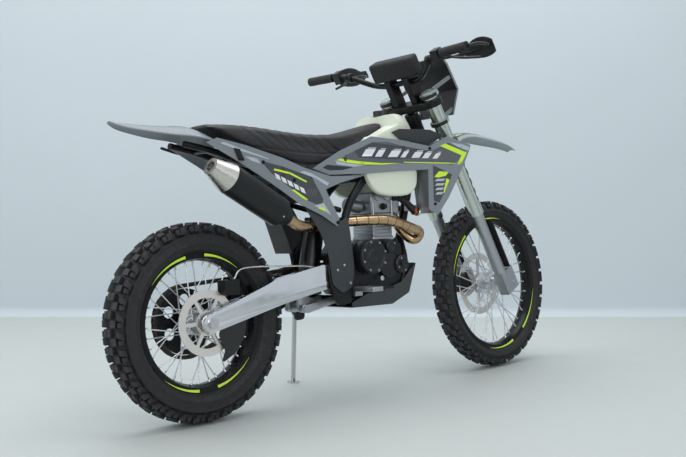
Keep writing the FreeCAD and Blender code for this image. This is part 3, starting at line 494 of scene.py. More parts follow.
def shroud_films():
    node = "shrouds"
    films(node, (
        ("shroud_field", GREY_FILM, 0.4,
         [(600, 880), (722, 928), (790, 928), (864, 912), (990, 891), (1080, 922), (1166, 894), (1140, 862),
          (1092, 838), (996, 849), (890, 848), (700, 842), (640, 850), (572, 862)]),
        ("shroud_dark", DARK_FILM, 0.6,
         [(640, 896), (722, 926), (864, 910), (960, 894), (1000, 897), (960, 868), (820, 862), (660, 872)]),
        ("shroud_neon", NEON, 0.9,
         [(580, 869), (662, 858), (754, 850), (850, 848), (760, 844), (682, 846), (617, 853), (560, 864)]),
        ("shroud_pale", PALE_FILM, 0.7, [(556, 862), (617, 851), (680, 844), (641, 839), (562, 848)]),
        ("shroud_tip_black", BLACK_FILM, 0.7, [(500, 838), (522, 848), (632, 837), (586, 828), (530, 828)]),
        ("shroud_chevron", NEON, 0.9,
         [(1036, 911), (1062, 920), (1171, 884), (1140, 842), (1118, 838), (1142, 874)]),
        ("shroud_nose", PALE_FILM, 0.9, [(1086, 925), (1150, 916), (1187, 906), (1181, 892), (1140, 900)]),
    ))
    for index, width in enumerate((44, 30, 44, 22, 38, 30, 24)):
        x = 672 + index * 58 - (index > 3) * (index - 3) * 8
        rise = -2.2 * index
        films(node, (
            ("shroud_bar_%d" % index, WHITE_FILM, 0.9, slanted(x, 876 + rise, width, 26 - index, 20)),
            ("shroud_shadow_%d" % index, PALE_FILM, 0.9, slanted(x + 26, 903 - index + rise, width - 8, 5, 5)),
        ))
    films(node, (
        ("shroud_thread", NEON, 0.9, [(860, 853), (1080, 846), (1118, 842), (1080, 842), (860, 850)]),
        ("wing_field", DARK_FILM, 0.5, [(998, 838), (1090, 800), (1068, 762), (1020, 694), (994, 703)]),
        ("wing_neon", NEON, 0.8, [(1000, 792), (1026, 814), (1072, 810), (1058, 796), (1022, 790)]),
    ))
    films(node, [("wing_bar_%d" % i, PALE_FILM, 0.8, slanted(1002, 776 - 17 * i, 44 - 4 * i, 9, 10))
                 for i in range(4)])
    films(node, [("wing_thread", NEON, 0.8, [(1060, 786), (1076, 780), (1046, 730), (1042, 732)])])


def side_films():
    node = "side_panels"
    films(node, (
        ("side_field", DARK_FILM, 0.5, [(208, 862), (300, 842), (428, 804), (462, 752), (478, 724), (466, 700),
                                        (400, 724), (300, 786), (246, 822)]),
        ("side_pale_front", PALE_FILM, 0.5,
         [(392, 826), (424, 818), (510, 782), (500, 772), (440, 802), (372, 822)]),
        ("side_pale_low", PALE_FILM, 0.9, [(432, 704), (478, 712), (512, 668), (468, 688)]),
        ("side_pale_rear", PALE_FILM, 0.9, [(140, 879), (192, 871), (206, 852), (170, 862)]),
        ("side_stripe", PALE_FILM, 0.9, [(60, 928), (126, 905), (240, 870), (238, 867), (120, 898), (50, 922)]),
        ("side_neon_top", NEON, 0.9, [(262, 836), (330, 822), (404, 790), (400, 786), (326, 816), (258, 830)]),
        ("side_neon_low", NEON, 0.9, [(330, 762), (344, 762), (404, 727), (396, 722)]),
        ("side_neon_tip", NEON, 1.1, [(450, 694), (462, 700), (486, 690), (480, 682)]),
    ))
    films(node, [("side_bar_%d" % i, WHITE_FILM, 0.9, slanted(268 + 27 * i, 802 - 12 * i, 20, 19, -8, -8))
                 for i in range(5)])
    films(node, [("side_hatch_%d" % i, GREY_FILM, 0.9, slanted(398 + 12 * i, 742 - 2 * i, 5, 24, 12))
                 for i in range(4)])


def mirrored(side, outline):
    """Outline of a top view laid on one side of the middle line."""
    return [(x, side * y) for x, y in outline]


def tail_films():
    node = "rear_fender"
    for side, name in ((-1, "tail_patch"), (1, "tail_patch_left")):
        film(name, node, mirrored(side, [(40, 76), (84, 84), (92, 70), (52, 62)]), PALE_FILM, "top", lift=0.7)
    seam = [(-150, 22), (-60, 34), (30, 44), (30, 41), (-60, 31), (-150, 20)]
    for side in (-1, 1):
        film("tail_seam_%d" % (side > 0), node, mirrored(side, seam), BLACK_FILM, "top", lift=0.6)


def front_films():
    node = "front_fender"
    options = dict(place=STEERED, view="top")
    vent = [(150, -20), (300, -14), (306, 0), (300, 14), (150, 20)]
    film("fender_vent", node, vent, BLACK_FILM, lift=0.6, **options)
    rows = (("fender_dark_", DARK_FILM, 0.6, [(158, 28), (304, 22), (322, 34), (160, 48)]),
            ("fender_neon_a_", NEON, 0.9, [(158, 30), (196, 32), (206, 38), (160, 36)]),
            ("fender_neon_b_", NEON, 0.9, [(262, 25), (312, 25), (320, 31), (270, 32)]))
    for side, tag in SIDE_NAMES.items():
        for name, material, lift, outline in rows:
            film(name + tag, node, mirrored(side, outline), material, lift=lift, **options)


def fork_films():
    node = "fork_upper"
    for view in ("right", "left"):
        options = dict(place=STEERED, view=view, size=0.006)
        film("fork_strip_" + view, node, [(26, 402), (44, 402), (44, 632), (26, 632)], BLACK_FILM, lift=0.4,
             **options)
        for index in range(5):
            low = 414 + 42 * index
            film("fork_block_%s_%d" % (view, index), node,
                 [(29, low), (41, low + 6), (41, low + 26), (29, low + 18)], WHITE_FILM, lift=0.7, **options)


def rim_arc(start, end, outer, thick):
    """Band along the rim that narrows to a point at its end, from two angles in degrees."""
    steps = 14
    far, near = [], []
    for step in range(steps + 1):
        share = step / steps
        angle = math.radians(start + (end - start) * share)
        inner = outer - thick * (1 - share) - 0.6
        far.append((outer * math.cos(angle), outer * math.sin(angle)))
        near.append((inner * math.cos(angle), inner * math.sin(angle)))
    return far + near[::-1]


def rim_films():
    for node, place, outer in (("rear_rim", REAR_WHEEL, 230), ("front_rim", FRONT_WHEEL, 275)):
        for view in ("right", "left"):
            for tag, turn in (("top", 0), ("low", 180)):
                for part, (start, end) in (("a", (103, 143)), ("b", (84, 48))):
                    film("%s_%s_%s_%s" % (node, view, tag, part), node,
                         rim_arc(start + turn, end + turn, outer, 9), NEON, view=view, place=place, lift=0.4,
                         size=0.02)


# Small fittings

def all_screws():
    covers = "engine_covers"
    screws("clutch_screws", covers, circle_spots(700, 508, 55, 8, 0.3), radius=4.5, height=9)
    screws("filter_screws", covers, circle_spots(800, 534, 24, 2, 0.8), radius=3.6, height=5)
    screws("pump_screws", covers, circle_spots(858, 470, 25, 4, 0.4), radius=3.8, height=9)
    screws("base_screws", covers, [(634, 458), (652, 420), (874, 506), (870, 446), (846, 412), (756, 402)],
           radius=4.2, height=6)
    screws("ignition_screws", covers, circle_spots(770, 450, 46, 6, 0.2), view="left", radius=4.2, height=9)
    screws("panel_screws", "side_panels", [(216, 858), (346, 795), (543, 640)], BLACK_METAL, radius=6.5,
           mirror=True)
    screws("shroud_screws", "shrouds", [(600, 866), (986, 902), (1000, 690)], BLACK_METAL, radius=6,
           mirror=True)
    screws("guard_screws", "frame_guards", [(534, 470), (592, 420), (508, 676), (566, 486)], mirror=True)
    screws("can_screws", "silencer", [(46, 786), (22, 846), (258, 672)], radius=3.4, height=3)
    screws("rear_disc_screws", "rear_disc", circle_spots(0, 0, 35, 6, 0.5), place=REAR_WHEEL, radius=4)
    screws("front_disc_screws", "front_disc", circle_spots(0, 0, 35, 6, 0.5), view="left", place=FRONT_WHEEL,
           radius=4)
    screws("sprocket_screws", "rear_sprocket", circle_spots(0, 0, 50, 6, 0.3), view="left", place=REAR_WHEEL,
           height=5)
    screws("clamp_screws", "handlebar", [(x, y) for y in (-54, -42, 54, 42) for x in (2, 22)],
           view="top", place=STEERED, radius=3.6)


# Nodes whose hard edges are rounded, and the width of the rounding in millimetres
SOFT_EDGES = {"bar_pad": 12, "meter": 5, "swingarm": 7, "frame_guards": 3, "skid_plate": 3, "engine_cases": 6,
              "engine_covers": 5, "cylinder_head": 3, "fork_guards": 2.5, "shroud_caps": 2.5, "airbox": 6,
              "triple_clamps": 4, "linkage": 3, "footpegs": 1.5, "radiators": 3}


def soften(name, width):
    """Piece for a node whose hard edges are rounded."""
    mesh = bmesh.new()
    mesh.from_mesh(NODES[name].data)
    bmesh.ops.remove_doubles(mesh, verts=mesh.verts[:], dist=1e-5)
    bmesh.ops.dissolve_limit(mesh, angle_limit=math.radians(1), verts=mesh.verts[:], edges=mesh.edges[:])
    limit = math.radians(35)
    sharp = [e for e in mesh.edges if len(e.link_faces) == 2 and e.calc_face_angle(0) > limit]
    bmesh.ops.bevel(mesh, geom=sharp, offset=width / 1000, segments=3, profile=0.5, affect="EDGES",
                    clamp_overlap=True)
    piece = add_object(name + "_round", mesh, FINISH_OF[name], BODY[name], sharp=40)
    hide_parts(name)


def slab(mesh, x0, x1, half, z0, z1, round_by, chamfer=1.0):
    """Plate with rounded corners and chamfered edges, in millimetres."""
    middle = (x0 + x1) / 2
    rings = []
    for z, less in ((z0, chamfer), (z0 + chamfer, 0), (z1 - chamfer, 0), (z1, chamfer)):
        ring = []
        for turn, (sx, sy) in enumerate(((1, 1), (-1, 1), (-1, -1), (1, -1))):
            for step in range(5):
                angle = math.pi / 2 * (turn + step / 4)
                x = middle + sx * ((x1 - x0) / 2 - round_by) + (round_by - less) * math.cos(angle)
                y = sy * (half - round_by) + (round_by - less) * math.sin(angle)
                ring.append(mesh.verts.new(UPRIGHT @ (Vector((x, y, z)) / 1000)))
        rings.append(ring)
    skin_rings(mesh, rings, close_start=True)


def spline(points, steps):
    """Points spread along a smooth curve through given ones."""
    spots = []
    spans = len(points) - 1
    for step in range(steps + 1):
        share = step / steps * spans
        index = min(int(share), spans - 1)
        t = share - index
        a, b = points[index], points[index + 1]
        before = points[index - 1] if index else a * 2 - b
        after = points[index + 2] if index + 2 <= spans else b * 2 - a
        spots.append(0.5 * (2 * a + (b - before) * t + (2 * before - 5 * a + 4 * b - after) * t * t
                            + (3 * a - before - 3 * b + after) * t ** 3))
    return spots


def sweep(name, points, radius_at, material, body, place=UPRIGHT, count=20):
    """Tube through points in millimetres, with a radius given for each share of its length."""
    steps = 90
    spots = spline([Vector(p) for p in points], steps)
    mesh = bmesh.new()
    rings = []
    across = None
    for index, spot in enumerate(spots):
        axis = (spots[min(index + 1, steps)] - spots[max(index - 1, 0)]).normalized()
        across = (axis.orthogonal() if across is None else across - axis * across.dot(axis)).normalized()
        other = axis.cross(across)
        radius = radius_at(index / steps)
        ring = []
        for i in range(count):
            angle = 2 * math.pi * i / count
            out = across * (radius * math.cos(angle)) + other * (radius * math.sin(angle))
            ring.append(mesh.verts.new(place @ ((spot + out) / 1000)))
        rings.append(ring)
    skin_rings(mesh, rings, close_start=True)
    add_object(name, mesh, material, body)


def ribbed(low, high, ribs):
    """Radius of a ribbed hose for each share of its length."""
    return lambda share: low + (high - low) * (0.5 + 0.5 * math.cos(2 * math.pi * ribs * share))


def turned_piece(name, base, profile, material, count, axis=(0, -1, 0)):
    """Turned piece of the engine, in millimetres, facing right unless an axis is given."""
    mesh = bmesh.new()
    turned(mesh, UPRIGHT, Vector(base) / 1000, axis, [(h / 1000, r / 1000) for h, r in profile], count)
    add_object(name, mesh, material, "chassis", sharp=35)


def engine_details():
    """Flanges, ribs and cam cover round the barrel and head, and the faces of the side covers."""
    mesh = bmesh.new()
    slabs = [(762, 874, 61, 567, 577, 12)]
    slabs += [(765, 871, 59, z, z + 4, 14) for z in range(588, 637, 12)]
    slabs += [(757, 875, 65, 652, 664, 12), (757, 875, 65, 700, 707, 14), (764, 868, 58, 741, 746, 16, 2)]
    for sizes in slabs:
        slab(mesh, *sizes)
    for x in (0.794, 0.842):
        turned(mesh, UPRIGHT, (x, 0, 0.728), (0, 1, 0),
               [(-0.066, 0.010), (-0.066, 0.015), (-0.061, 0.017), (0.061, 0.017), (0.066, 0.015),
                (0.066, 0.010)], 24, close_start=True)
    for x in (0.768, 0.864):
        for y in (-0.062, 0.062):
            turned(mesh, UPRIGHT, (x, y, 0.650), (0, 0, 1), [(0, 0.006), (0.062, 0.006), (0.064, 0.0045)])
    add_object("head_details", mesh, CAST_ALLOY, "chassis", sharp=35)
    turned_piece("spark_plug_cap", (818, -60, 690), [(0, 13), (8, 13), (9, 10), (20, 9), (22, 7)],
                 SOFT_BLACK, 20)
    turned_piece("clutch_face", (700, -127, 508),
                 [(0, 61), (3, 61), (5, 58.5), (5, 52), (3.5, 50), (2, 46), (2, 28), (3, 25), (5, 23), (5, 10),
                  (4, 8)], COVER_BLACK, 64)
    turned_piece("pump_face", (858, -111, 470),
                 [(0, 33), (3, 33), (6, 29), (6, 22), (4, 19), (4, 10), (9, 9), (10, 7)], COVER_BLACK, 40)
    turned_piece("filter_face", (800, -115, 540), [(0, 21), (3, 21), (5, 18), (5, 12), (3, 10)],
                 COVER_BLACK, 32)
    turned_piece("oil_plug", (756, -104, 424), [(0, 9), (5, 9), (6, 7), (6, 4), (3, 3.6)], STEEL, 12)
    turned_piece("ignition_face", (770, 121, 450),
                 [(0, 57), (3, 57), (5, 54), (5, 38), (3, 35), (3, 14), (5, 12), (5, 8)], COVER_BLACK, 56,
                 axis=(0, 1, 0))


def hand_guard(side):
    """Bent bar from the bar end round to a clamp, with a slim rounded shield ahead of the lever."""
    tag = SIDE_NAMES[side]
    route = [(u, side * y, w) for u, y, w in (
        (-42, 417, 1050), (0, 420, 1040), (52, 414, 1020), (100, 398, 998), (122, 350, 985), (122, 280, 980),
        (92, 232, 986), (36, 206, 1004), (-20, 205, 1020))]
    sweep("hand_guard_bar_" + tag, route, lambda share: 5.6, BLACK_METAL, "steering", place=STEERED, count=14)
    mesh = bmesh.new()
    rings = []
    for index in range(15):
        share = index / 14
        y = side * (409 - 168 * share)
        u = 113 + 12 * math.sin(math.pi * share)
        high = 16 + 26 * math.sin(math.pi * min(1.0, share * 1.25 + 0.08)) ** 0.6
        low = 14 + 26 * math.sin(math.pi * min(1.0, share * 1.1 + 0.05)) ** 0.7
        section = ((0, -low), (2.5, -low - 1), (3.6, 0), (1.5, high + 1), (-1.5, high), (1.2, 0))
        rings.append([mesh.verts.new(STEERED @ (Vector((u + du, y, 986 + dw)) / 1000)) for du, dw in section])
    skin_rings(mesh, rings, close_start=True)
    bmesh.ops.recalc_face_normals(mesh, faces=mesh.faces[:])
    shield = add_object("hand_shield_" + tag, mesh, BLACK_PLASTIC, "steering", sharp=50)
    mesh = bmesh.new()
    turned(mesh, STEERED, (-0.022, side * 0.205, 1.024), (0, 1, 0),
           [(-0.009, 0.017), (-0.008, 0.019), (0.008, 0.019), (0.009, 0.017)], 24, close_start=True)
    clamp = add_object("hand_guard_clamp_" + tag, mesh, BLACK_METAL, "steering")
    return clamp, shield


# The chain's plane and sprockets, in millimetres; the drive sprocket's centre is from the rear axle
CHAIN_PITCH = 15.875
CHAIN_Y = 69.0
CHAIN_Z = 334.0
DRIVE_X, DRIVE_Z = 628.0, 118.0
REAR_TEETH, DRIVE_TEETH = 48, 13
PLATE_RADIUS = 6.6


def chain_pins():
    """Pins of the closed loop round both sprockets, in the chain's plane."""
    rear, drive = (CHAIN_PITCH / (2 * math.sin(math.pi / teeth)) for teeth in (REAR_TEETH, DRIVE_TEETH))
    slope = math.atan2(DRIVE_Z, DRIVE_X)
    spread = math.acos((rear - drive) / math.hypot(DRIVE_X, DRIVE_Z))
    path = []
    for x, z, radius, start, end in ((0, 0, rear, slope + 2 * math.pi - spread, slope + spread),
                                     (DRIVE_X, DRIVE_Z, drive, slope + spread, slope - spread)):
        steps = max(6, int(abs(end - start) / 0.04))
        for step in range(steps + 1):
            angle = start + (end - start) * step / steps
            path.append(Vector((x + radius * math.cos(angle), z + radius * math.sin(angle))))
    path.append(path[0])
    lengths = [0.0]
    for a, b in zip(path, path[1:]):
        lengths.append(lengths[-1] + (b - a).length)
    total = round(lengths[-1] / CHAIN_PITCH / 2) * 2
    pins = []
    segment = 0
    for index in range(total):
        reach = index * lengths[-1] / total
        while lengths[segment + 1] < reach:
            segment += 1
        t = (reach - lengths[segment]) / (lengths[segment + 1] - lengths[segment])
        pins.append(path[segment].lerp(path[segment + 1], t))
    return pins


def link_plate(mesh, a, b, near, side):
    """Plate with round ends between two pins, thickening outwards from a plane."""
    along = (b - a).normalized()
    up = Vector((-along.y, along.x))
    rings = []
    for depth, shrink in ((0, 0), (1.5, 0), (1.8, 0.5)):
        ring = []
        for centre, first in ((b, -90), (a, 90)):
            for turn in (0, 45, 90, 135, 180):
                angle = math.radians(first + turn)
                spot = centre + (along * math.cos(angle) + up * math.sin(angle)) * (PLATE_RADIUS - shrink)
                point = Vector((spot.x, near + side * depth, spot.y + CHAIN_Z)) / 1000
                ring.append(mesh.verts.new(UPRIGHT @ point))
        rings.append(ring)
    skin_rings(mesh, rings, close_start=True)


def chain_links():
    """Outer and inner plates with rollers and pins, following the CAD loop."""
    pins = chain_pins()
    mesh = bmesh.new()
    for index, a in enumerate(pins):
        b = pins[(index + 1) % len(pins)]
        for side in (-1, 1):
            link_plate(mesh, a, b, CHAIN_Y + side * (6.6 if index % 2 else 4.6), side)
        for half, radius in ((0.0042, 0.0048), (0.0090, 0.0026)):
            turned(mesh, UPRIGHT, Vector((a.x, CHAIN_Y, a.y + CHAIN_Z)) / 1000, (0, 1, 0),
                   [(-half, radius), (half, radius)], 10, close_start=True)
    bmesh.ops.recalc_face_normals(mesh, faces=mesh.faces[:])
    links = add_object("chain_links", mesh, CHAIN_METAL, "chassis", smooth=False)
    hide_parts("drive_chain")


def hoses():
    coolant = [(868, -40, 716), (892, -62, 722), (918, -82, 706), (938, -89, 684), (954, -90, 669)]
    sweep("radiator_hose", coolant, ribbed(11.5, 14.5, 12), RUBBER, "chassis")
    sweep("brake_line", [(106, -80, 470), (128, -84, 500), (190, -84, 506), (300, -84, 500), (420, -78, 492),
                         (540, -72, 470), (600, -90, 440)], lambda share: 3.0, BRUSHED, "chassis", count=10)


class Tread:
    """Cross-section of a tyre's lug tips, followed from the middle of the tread outwards."""

    def __init__(self, radius, half, depth):
        self.depth = depth
        self.heart = Vector((0, radius - 1.3 * half))
        self.line = [Vector(p) for p in ((0, radius), (0.45 * half, radius - 0.5), (half - 11, radius - 7),
                                         (half - 0.5, radius - 21), (half - 1, radius - 40))]

    def at(self, reach, sunk=0.0):
        """Point in y and radius at a distance along the section, moved inwards by a depth."""
        rest = abs(reach)
        for a, b in zip(self.line, self.line[1:]):
            if rest <= (b - a).length or b is self.line[-1]:
                point = a + (b - a) * (rest / (b - a).length)
                break
            rest -= (b - a).length
        point = point + (self.heart - point).normalized() * sunk
        return Vector((math.copysign(point.x, reach), point.y))

    def point(self, reach, angle, sunk=0.0):
        y, r = self.at(reach, sunk)
        return Vector((r * math.cos(angle), y, r * math.sin(angle))) / 1000


def lug(mesh, place, tread, span, angle, half_angle, skew=0.0):
    """Block with drafted sides and a chamfered top between two distances along the section."""
    low, high = span
    levels = ((tread.depth + 2.5, 1.8, 1.14), (1.2, 0.0, 1.0), (0.0, -1.2, 0.9))
    rings = []
    for sunk, grow, widen in levels:
        corners = ((low - grow, -1), (high + grow, -1), (high + grow, 1), (low - grow, 1))
        rings.append([mesh.verts.new(place @ tread.point(
            reach, angle + side * half_angle * widen + skew * (reach - low) / (high - low), sunk))
            for reach, side in corners])
    skin_rings(mesh, rings)


# Rows of lugs on one side of a tyre of WIDE_HALF: their reach from the middle of the tread in millimetres,
# their turn and half width as shares of a pitch, and their skew in radians
LUG_ROWS = (((2.6, 20.5), 0.0, 0.21, 0.0), ((23.5, 42.0), 0.5, 0.2, 0.0), ((49.0, 71.0), 0.1, 0.17, 0.03),
            ((53.0, 69.0), 0.56, 0.13, 0.0))
LUG_PITCHES = 36
WIDE_HALF = 56


def knobbly_tyre(name, place, radius, half, rim_radius, rim_half, depth):
    """Tyre with a ribbed carcass, and rows of crown, middle and shoulder lugs standing in turn."""
    tread = Tread(radius, half, depth)
    lip = rim_radius + 0.4
    middle = [tread.at(share * 0.96 * half, depth) for share in (0, 0.3, 0.6, 0.9, 1.1, 1.25)]
    wall = [(half - 2.0, radius - 40), (half - 0.5, radius - 44), (half - 2.5, radius - 46),
            (half - 2.5, lip + 30), (half - 1.5, lip + 28), (half - 4.5, lip + 24), (half - 8, lip + 12),
            (rim_half + 1, lip + 1.5), (rim_half - 5, rim_radius - 0.5), (rim_half - 8, rim_radius - 12)]
    right = [tuple(p) for p in middle] + wall
    mesh = bmesh.new()
    count = 144
    turns = [2 * math.pi * i / count for i in range(count)]
    rings = []
    for y, r in [(-y, r) for y, r in right[:0:-1]] + right:
        rings.append([mesh.verts.new(place @ (Vector((r * math.cos(a), y, r * math.sin(a))) / 1000))
                      for a in turns])
    skin_rings(mesh, rings + rings[:1], close_end=False)
    step = 2 * math.pi / LUG_PITCHES
    scale = half / WIDE_HALF
    for index in range(LUG_PITCHES):
        for side in (-1, 1):
            for span, turn, width, skew in LUG_ROWS:
                lug(mesh, place, tread, [side * scale * v for v in span], (index + turn) * step, width * step,
                    skew)
    bmesh.ops.recalc_face_normals(mesh, faces=mesh.faces[:])
    piece = add_object(name + "_knobs", mesh, FINISH_OF[name], BODY[name], sharp=32)
    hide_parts(name)


def tyres():
    knobbly_tyre("rear_tyre", REAR_WHEEL, 334, WIDE_HALF, 232, 34, 15)
    knobbly_tyre("front_tyre", FRONT_WHEEL, 346, 44, 277, 27, 12)


def pipe_centre(node, x, y, z):
    """Middle and radius of a pipe near a point, from the surface above and below it and on its two sides."""
    top = touch(node, UPRIGHT, (x, y, z + 0.06), (0, 0, -1))
    low = touch(node, UPRIGHT, (x, y, z - 0.06), (0, 0, 1))
    if top is None or low is None:
        return None
    back = UPRIGHT.inverted()
    middle = (back @ top[0] + back @ low[0]) / 2
    right = touch(node, UPRIGHT, (x, y - 0.1, middle.z), (0, 1, 0))
    left = touch(node, UPRIGHT, (x, y + 0.1, middle.z), (0, -1, 0))
    if right is None or left is None:
        return None
    middle.y = ((back @ right[0]).y + (back @ left[0]).y) / 2
    return middle, (right[0] - left[0]).length / 2


PIPE_RADII = (0.016, 0.026)


def weld_rings():
    """Beads round the header where its bends are joined."""
    guess = ((0.962, -0.098, 0.594), (0.930, -0.100, 0.603), (0.898, -0.104, 0.612), (0.862, -0.106, 0.622),
             (0.826, -0.107, 0.632), (0.790, -0.107, 0.639), (0.752, -0.099, 0.641), (0.712, -0.088, 0.642),
             (0.668, -0.071, 0.641), (0.624, -0.055, 0.640), (0.560, -0.057, 0.635), (0.470, -0.066, 0.631))
    spots = [pipe_centre("exhaust_pipe", *spot) for spot in guess]
    spots = [spot for spot in spots if spot is not None and PIPE_RADII[0] < spot[1] < PIPE_RADII[1]]
    mesh = bmesh.new()
    for index, (middle, radius) in enumerate(spots):
        before = spots[max(index - 1, 0)][0]
        after = spots[min(index + 1, len(spots) - 1)][0]
        axis = (after - before).normalized()
        # A pipe that runs aslant measures too thick from side to side
        if abs(axis.y) > 0.05:
            radius *= max(0.6, math.sqrt(max(0.0, 1 - axis.y ** 2)))
        rings = [ring_of(mesh, UPRIGHT, middle + axis * (along / 1000), axis, radius + up / 1000, 28)
                 for along, up in ((-2.2, -0.6), (-1.2, 0.7), (0, 1.1), (1.2, 0.7), (2.2, -0.6))]
        skin_rings(mesh, rings, close_end=False)
    add_object("weld_beads", mesh, WELD, "chassis")


SPOKES = 36


def nipples():
    """Spoke nipples inside both rims."""
    profile = [(0, 0.0042), (0.004, 0.0042), (0.005, 0.0034), (0.014, 0.0032), (0.016, 0.0026)]
    for name, place, reach, body in (("rear_nipples", REAR_WHEEL, 0.206, "rear_wheel"),
                                     ("front_nipples", FRONT_WHEEL, 0.251, "front_wheel")):
        mesh = bmesh.new()
        for index in range(SPOKES):
            angle = 2 * math.pi * index / SPOKES
            side = 1 if index % 2 else -1
            out = Vector((math.cos(angle), 0, math.sin(angle)))
            turned(mesh, place, out * (reach + 0.001) + Vector((0, side * 0.005, 0)), -out, profile, 8)
        add_object(name, mesh, STEEL, body)


def hose_joint(name, start, end, rim, belly, shoulder, material):
    """Clip on the coolant hose between two points in millimetres, with its radii and a shoulder as a share."""
    mesh = bmesh.new()
    a, b = Vector(start) / 1000, Vector(end) / 1000
    rings = [ring_of(mesh, UPRIGHT, a + (b - a) * share, b - a, radius / 1000, 20)
             for share, radius in ((0, rim), (shoulder, belly), (1 - shoulder, belly), (1, rim))]
    skin_rings(mesh, rings, close_start=True)
    add_object(name, mesh, material, "chassis", smooth=False)


def fittings():
    hose_joint("hose_clip", (972, -90, 664), (981, -90, 661), 15.2, 16.6, 0.2, STEEL)
    hose_joint("copper_joint", (952, -90, 668), (966, -90, 666), 14.6, 16.2, 0.15, COPPER)
    screws("start_button", "bar_controls", [(-38, 1026)], BLUE_PLASTIC, place=STEERED, view="left", radius=6,
           height=5)


# Seat

SEAT_TOP = ((0.037, 0.990), (0.150, 0.987), (0.263, 0.978), (0.400, 0.964), (0.520, 0.957), (0.620, 0.962),
            (0.740, 0.984), (0.856, 1.010))
RIB_SLANT = 1.5
RIB_REACH = 0.066
SEAM_DEPTH = 0.070
CLOTH_FRAMES = 20
CLOTH_PRESSURE = 4.0
SEAT_RIBS = (0.172, 0.219, 0.266, 0.315, 0.365, 0.416, 0.467, 0.520)


def seat_top(x):
    """Height of the seat's top over a point of its length."""
    for (x0, z0), (x1, z1) in zip(SEAT_TOP, SEAT_TOP[1:]):
        if x <= x1:
            return z0 + (z1 - z0) * max(0.0, (x - x0) / (x1 - x0))
    return SEAT_TOP[-1][1]


def shift_points(mesh, moves):
    """Moves each point of a mesh along its normal."""
    normals = [v.normal.copy() for v in mesh.vertices]
    for vertex, normal, move in zip(mesh.vertices, normals, moves):
        vertex.co = vertex.co + normal * move


def apply_look(piece):
    """Replaces a piece's mesh by what its modifiers make of it."""
    depsgraph = bpy.context.evaluated_depsgraph_get()
    mesh = bpy.data.meshes.new_from_object(piece.evaluated_get(depsgraph))
    piece.modifiers.clear()
    piece.data = mesh


def inflate(piece, cap):
    """Cloth pass that swells the cushion by its inner pressure, with no point moved beyond a cap."""
    scene = bpy.context.scene
    rest = [v.co.copy() for v in piece.data.vertices]
    group = piece.vertex_groups.new(name="held")
    down = UPRIGHT.to_3x3() @ Vector((0, 0, -1))
    held = [v.index for v in piece.data.vertices if v.normal.dot(down) > 0.5]
    group.add(held, 1.0, "REPLACE")
    cloth = piece.modifiers.new("cloth", "CLOTH")
    cloth.settings.use_pressure = True
    cloth.settings.uniform_pressure_force = CLOTH_PRESSURE
    cloth.settings.effector_weights.gravity = 0.0
    cloth.settings.vertex_group_mass = "held"
    cloth.point_cache.frame_start = 1
    cloth.point_cache.frame_end = CLOTH_FRAMES
    for number in range(1, CLOTH_FRAMES + 1):
        scene.frame_set(number)
    apply_look(piece)
    for vertex, start in zip(piece.data.vertices, rest):
        move = vertex.co - start
        if move.length > cap:
            vertex.co = start + move * (cap / move.length)
    scene.frame_set(1)


def sew(piece):
    """Presses the diagonal sewn ribs and the side seam into the cover."""
    back = UPRIGHT.inverted()
    turn = back.to_3x3()
    moves = []
    for vertex in piece.data.vertices:
        p = back @ vertex.co
        sunk = seat_top(p.x) - p.z
        skew = p.x - RIB_SLANT * max(0.0, sunk - 0.006)
        depth = 0.0
        if (turn @ vertex.normal).z > -0.4 and sunk < RIB_REACH:
            for rib in SEAT_RIBS:
                depth += 0.0030 * math.exp(-((skew - rib) / 0.0034) ** 2)
                depth -= 0.0007 * math.exp(-((skew - rib - 0.024) / 0.014) ** 2)
        depth += 0.0022 * math.exp(-((sunk - SEAM_DEPTH) / 0.003) ** 2)
        moves.append(-depth)
    shift_points(piece.data, moves)


def seat_cushion():
    seat = new_object("seat_cushion", NODES["seat"].data.copy())
    shift_points(seat.data, [-0.003] * len(seat.data.vertices))
    remesh = seat.modifiers.new("remesh", "REMESH")
    remesh.mode = "VOXEL"
    remesh.voxel_size = 0.0055
    apply_look(seat)
    inflate(seat, 0.006)
    smooth = seat.modifiers.new("smooth", "SMOOTH")
    smooth.factor = 0.5
    smooth.iterations = 3
    finer = seat.modifiers.new("finer", "SUBSURF")
    finer.levels = finer.render_levels = 1
    apply_look(seat)
    sew(seat)
    seat.data.shade_smooth()
    seat.data.materials.clear()
    seat.data.materials.append(LEATHER)
    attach(seat, "chassis")
    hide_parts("seat")


shroud_films()
side_films()
tail_films()
front_films()
fork_films()
rim_films()
all_screws()
tyres()
engine_details()
hoses()
chain_links()
for side in (-1, 1):
    for piece in hand_guard(side):
        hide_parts("hand_guards")
for name, width in SOFT_EDGES.items():
    soften(name, width)
weld_rings()
nipples()
fittings()
film("side_strap", "side_panels", [(100, 906), (122, 902), (150, 840), (128, 838)], STRAP, lift=2.6, thick=2.2)
film("strap_tag", "side_panels", [(102, 904), (120, 901), (127, 886), (109, 888)], RED_FILM, lift=3.2)
seat_cushion()


# Camera, studio and light

def camera():
    data = bpy.data.cameras.new("camera")
    data.sensor_width = 36.0
    data.lens = CAMERA_LENS
    data.clip_end = 100.0
    view = new_object("camera", data)
    level = math.cos(CAMERA_PITCH)
    direction = Vector((level * math.cos(CAMERA_YAW), level * math.sin(CAMERA_YAW), math.sin(CAMERA_PITCH)))
    view.rotation_mode = "QUATERNION"
    view.rotation_quaternion = direction.to_track_quat("-Z", "Y")
    view.location = Vector(CAMERA_SPOT) + SHIFT
    bpy.context.scene.camera = view


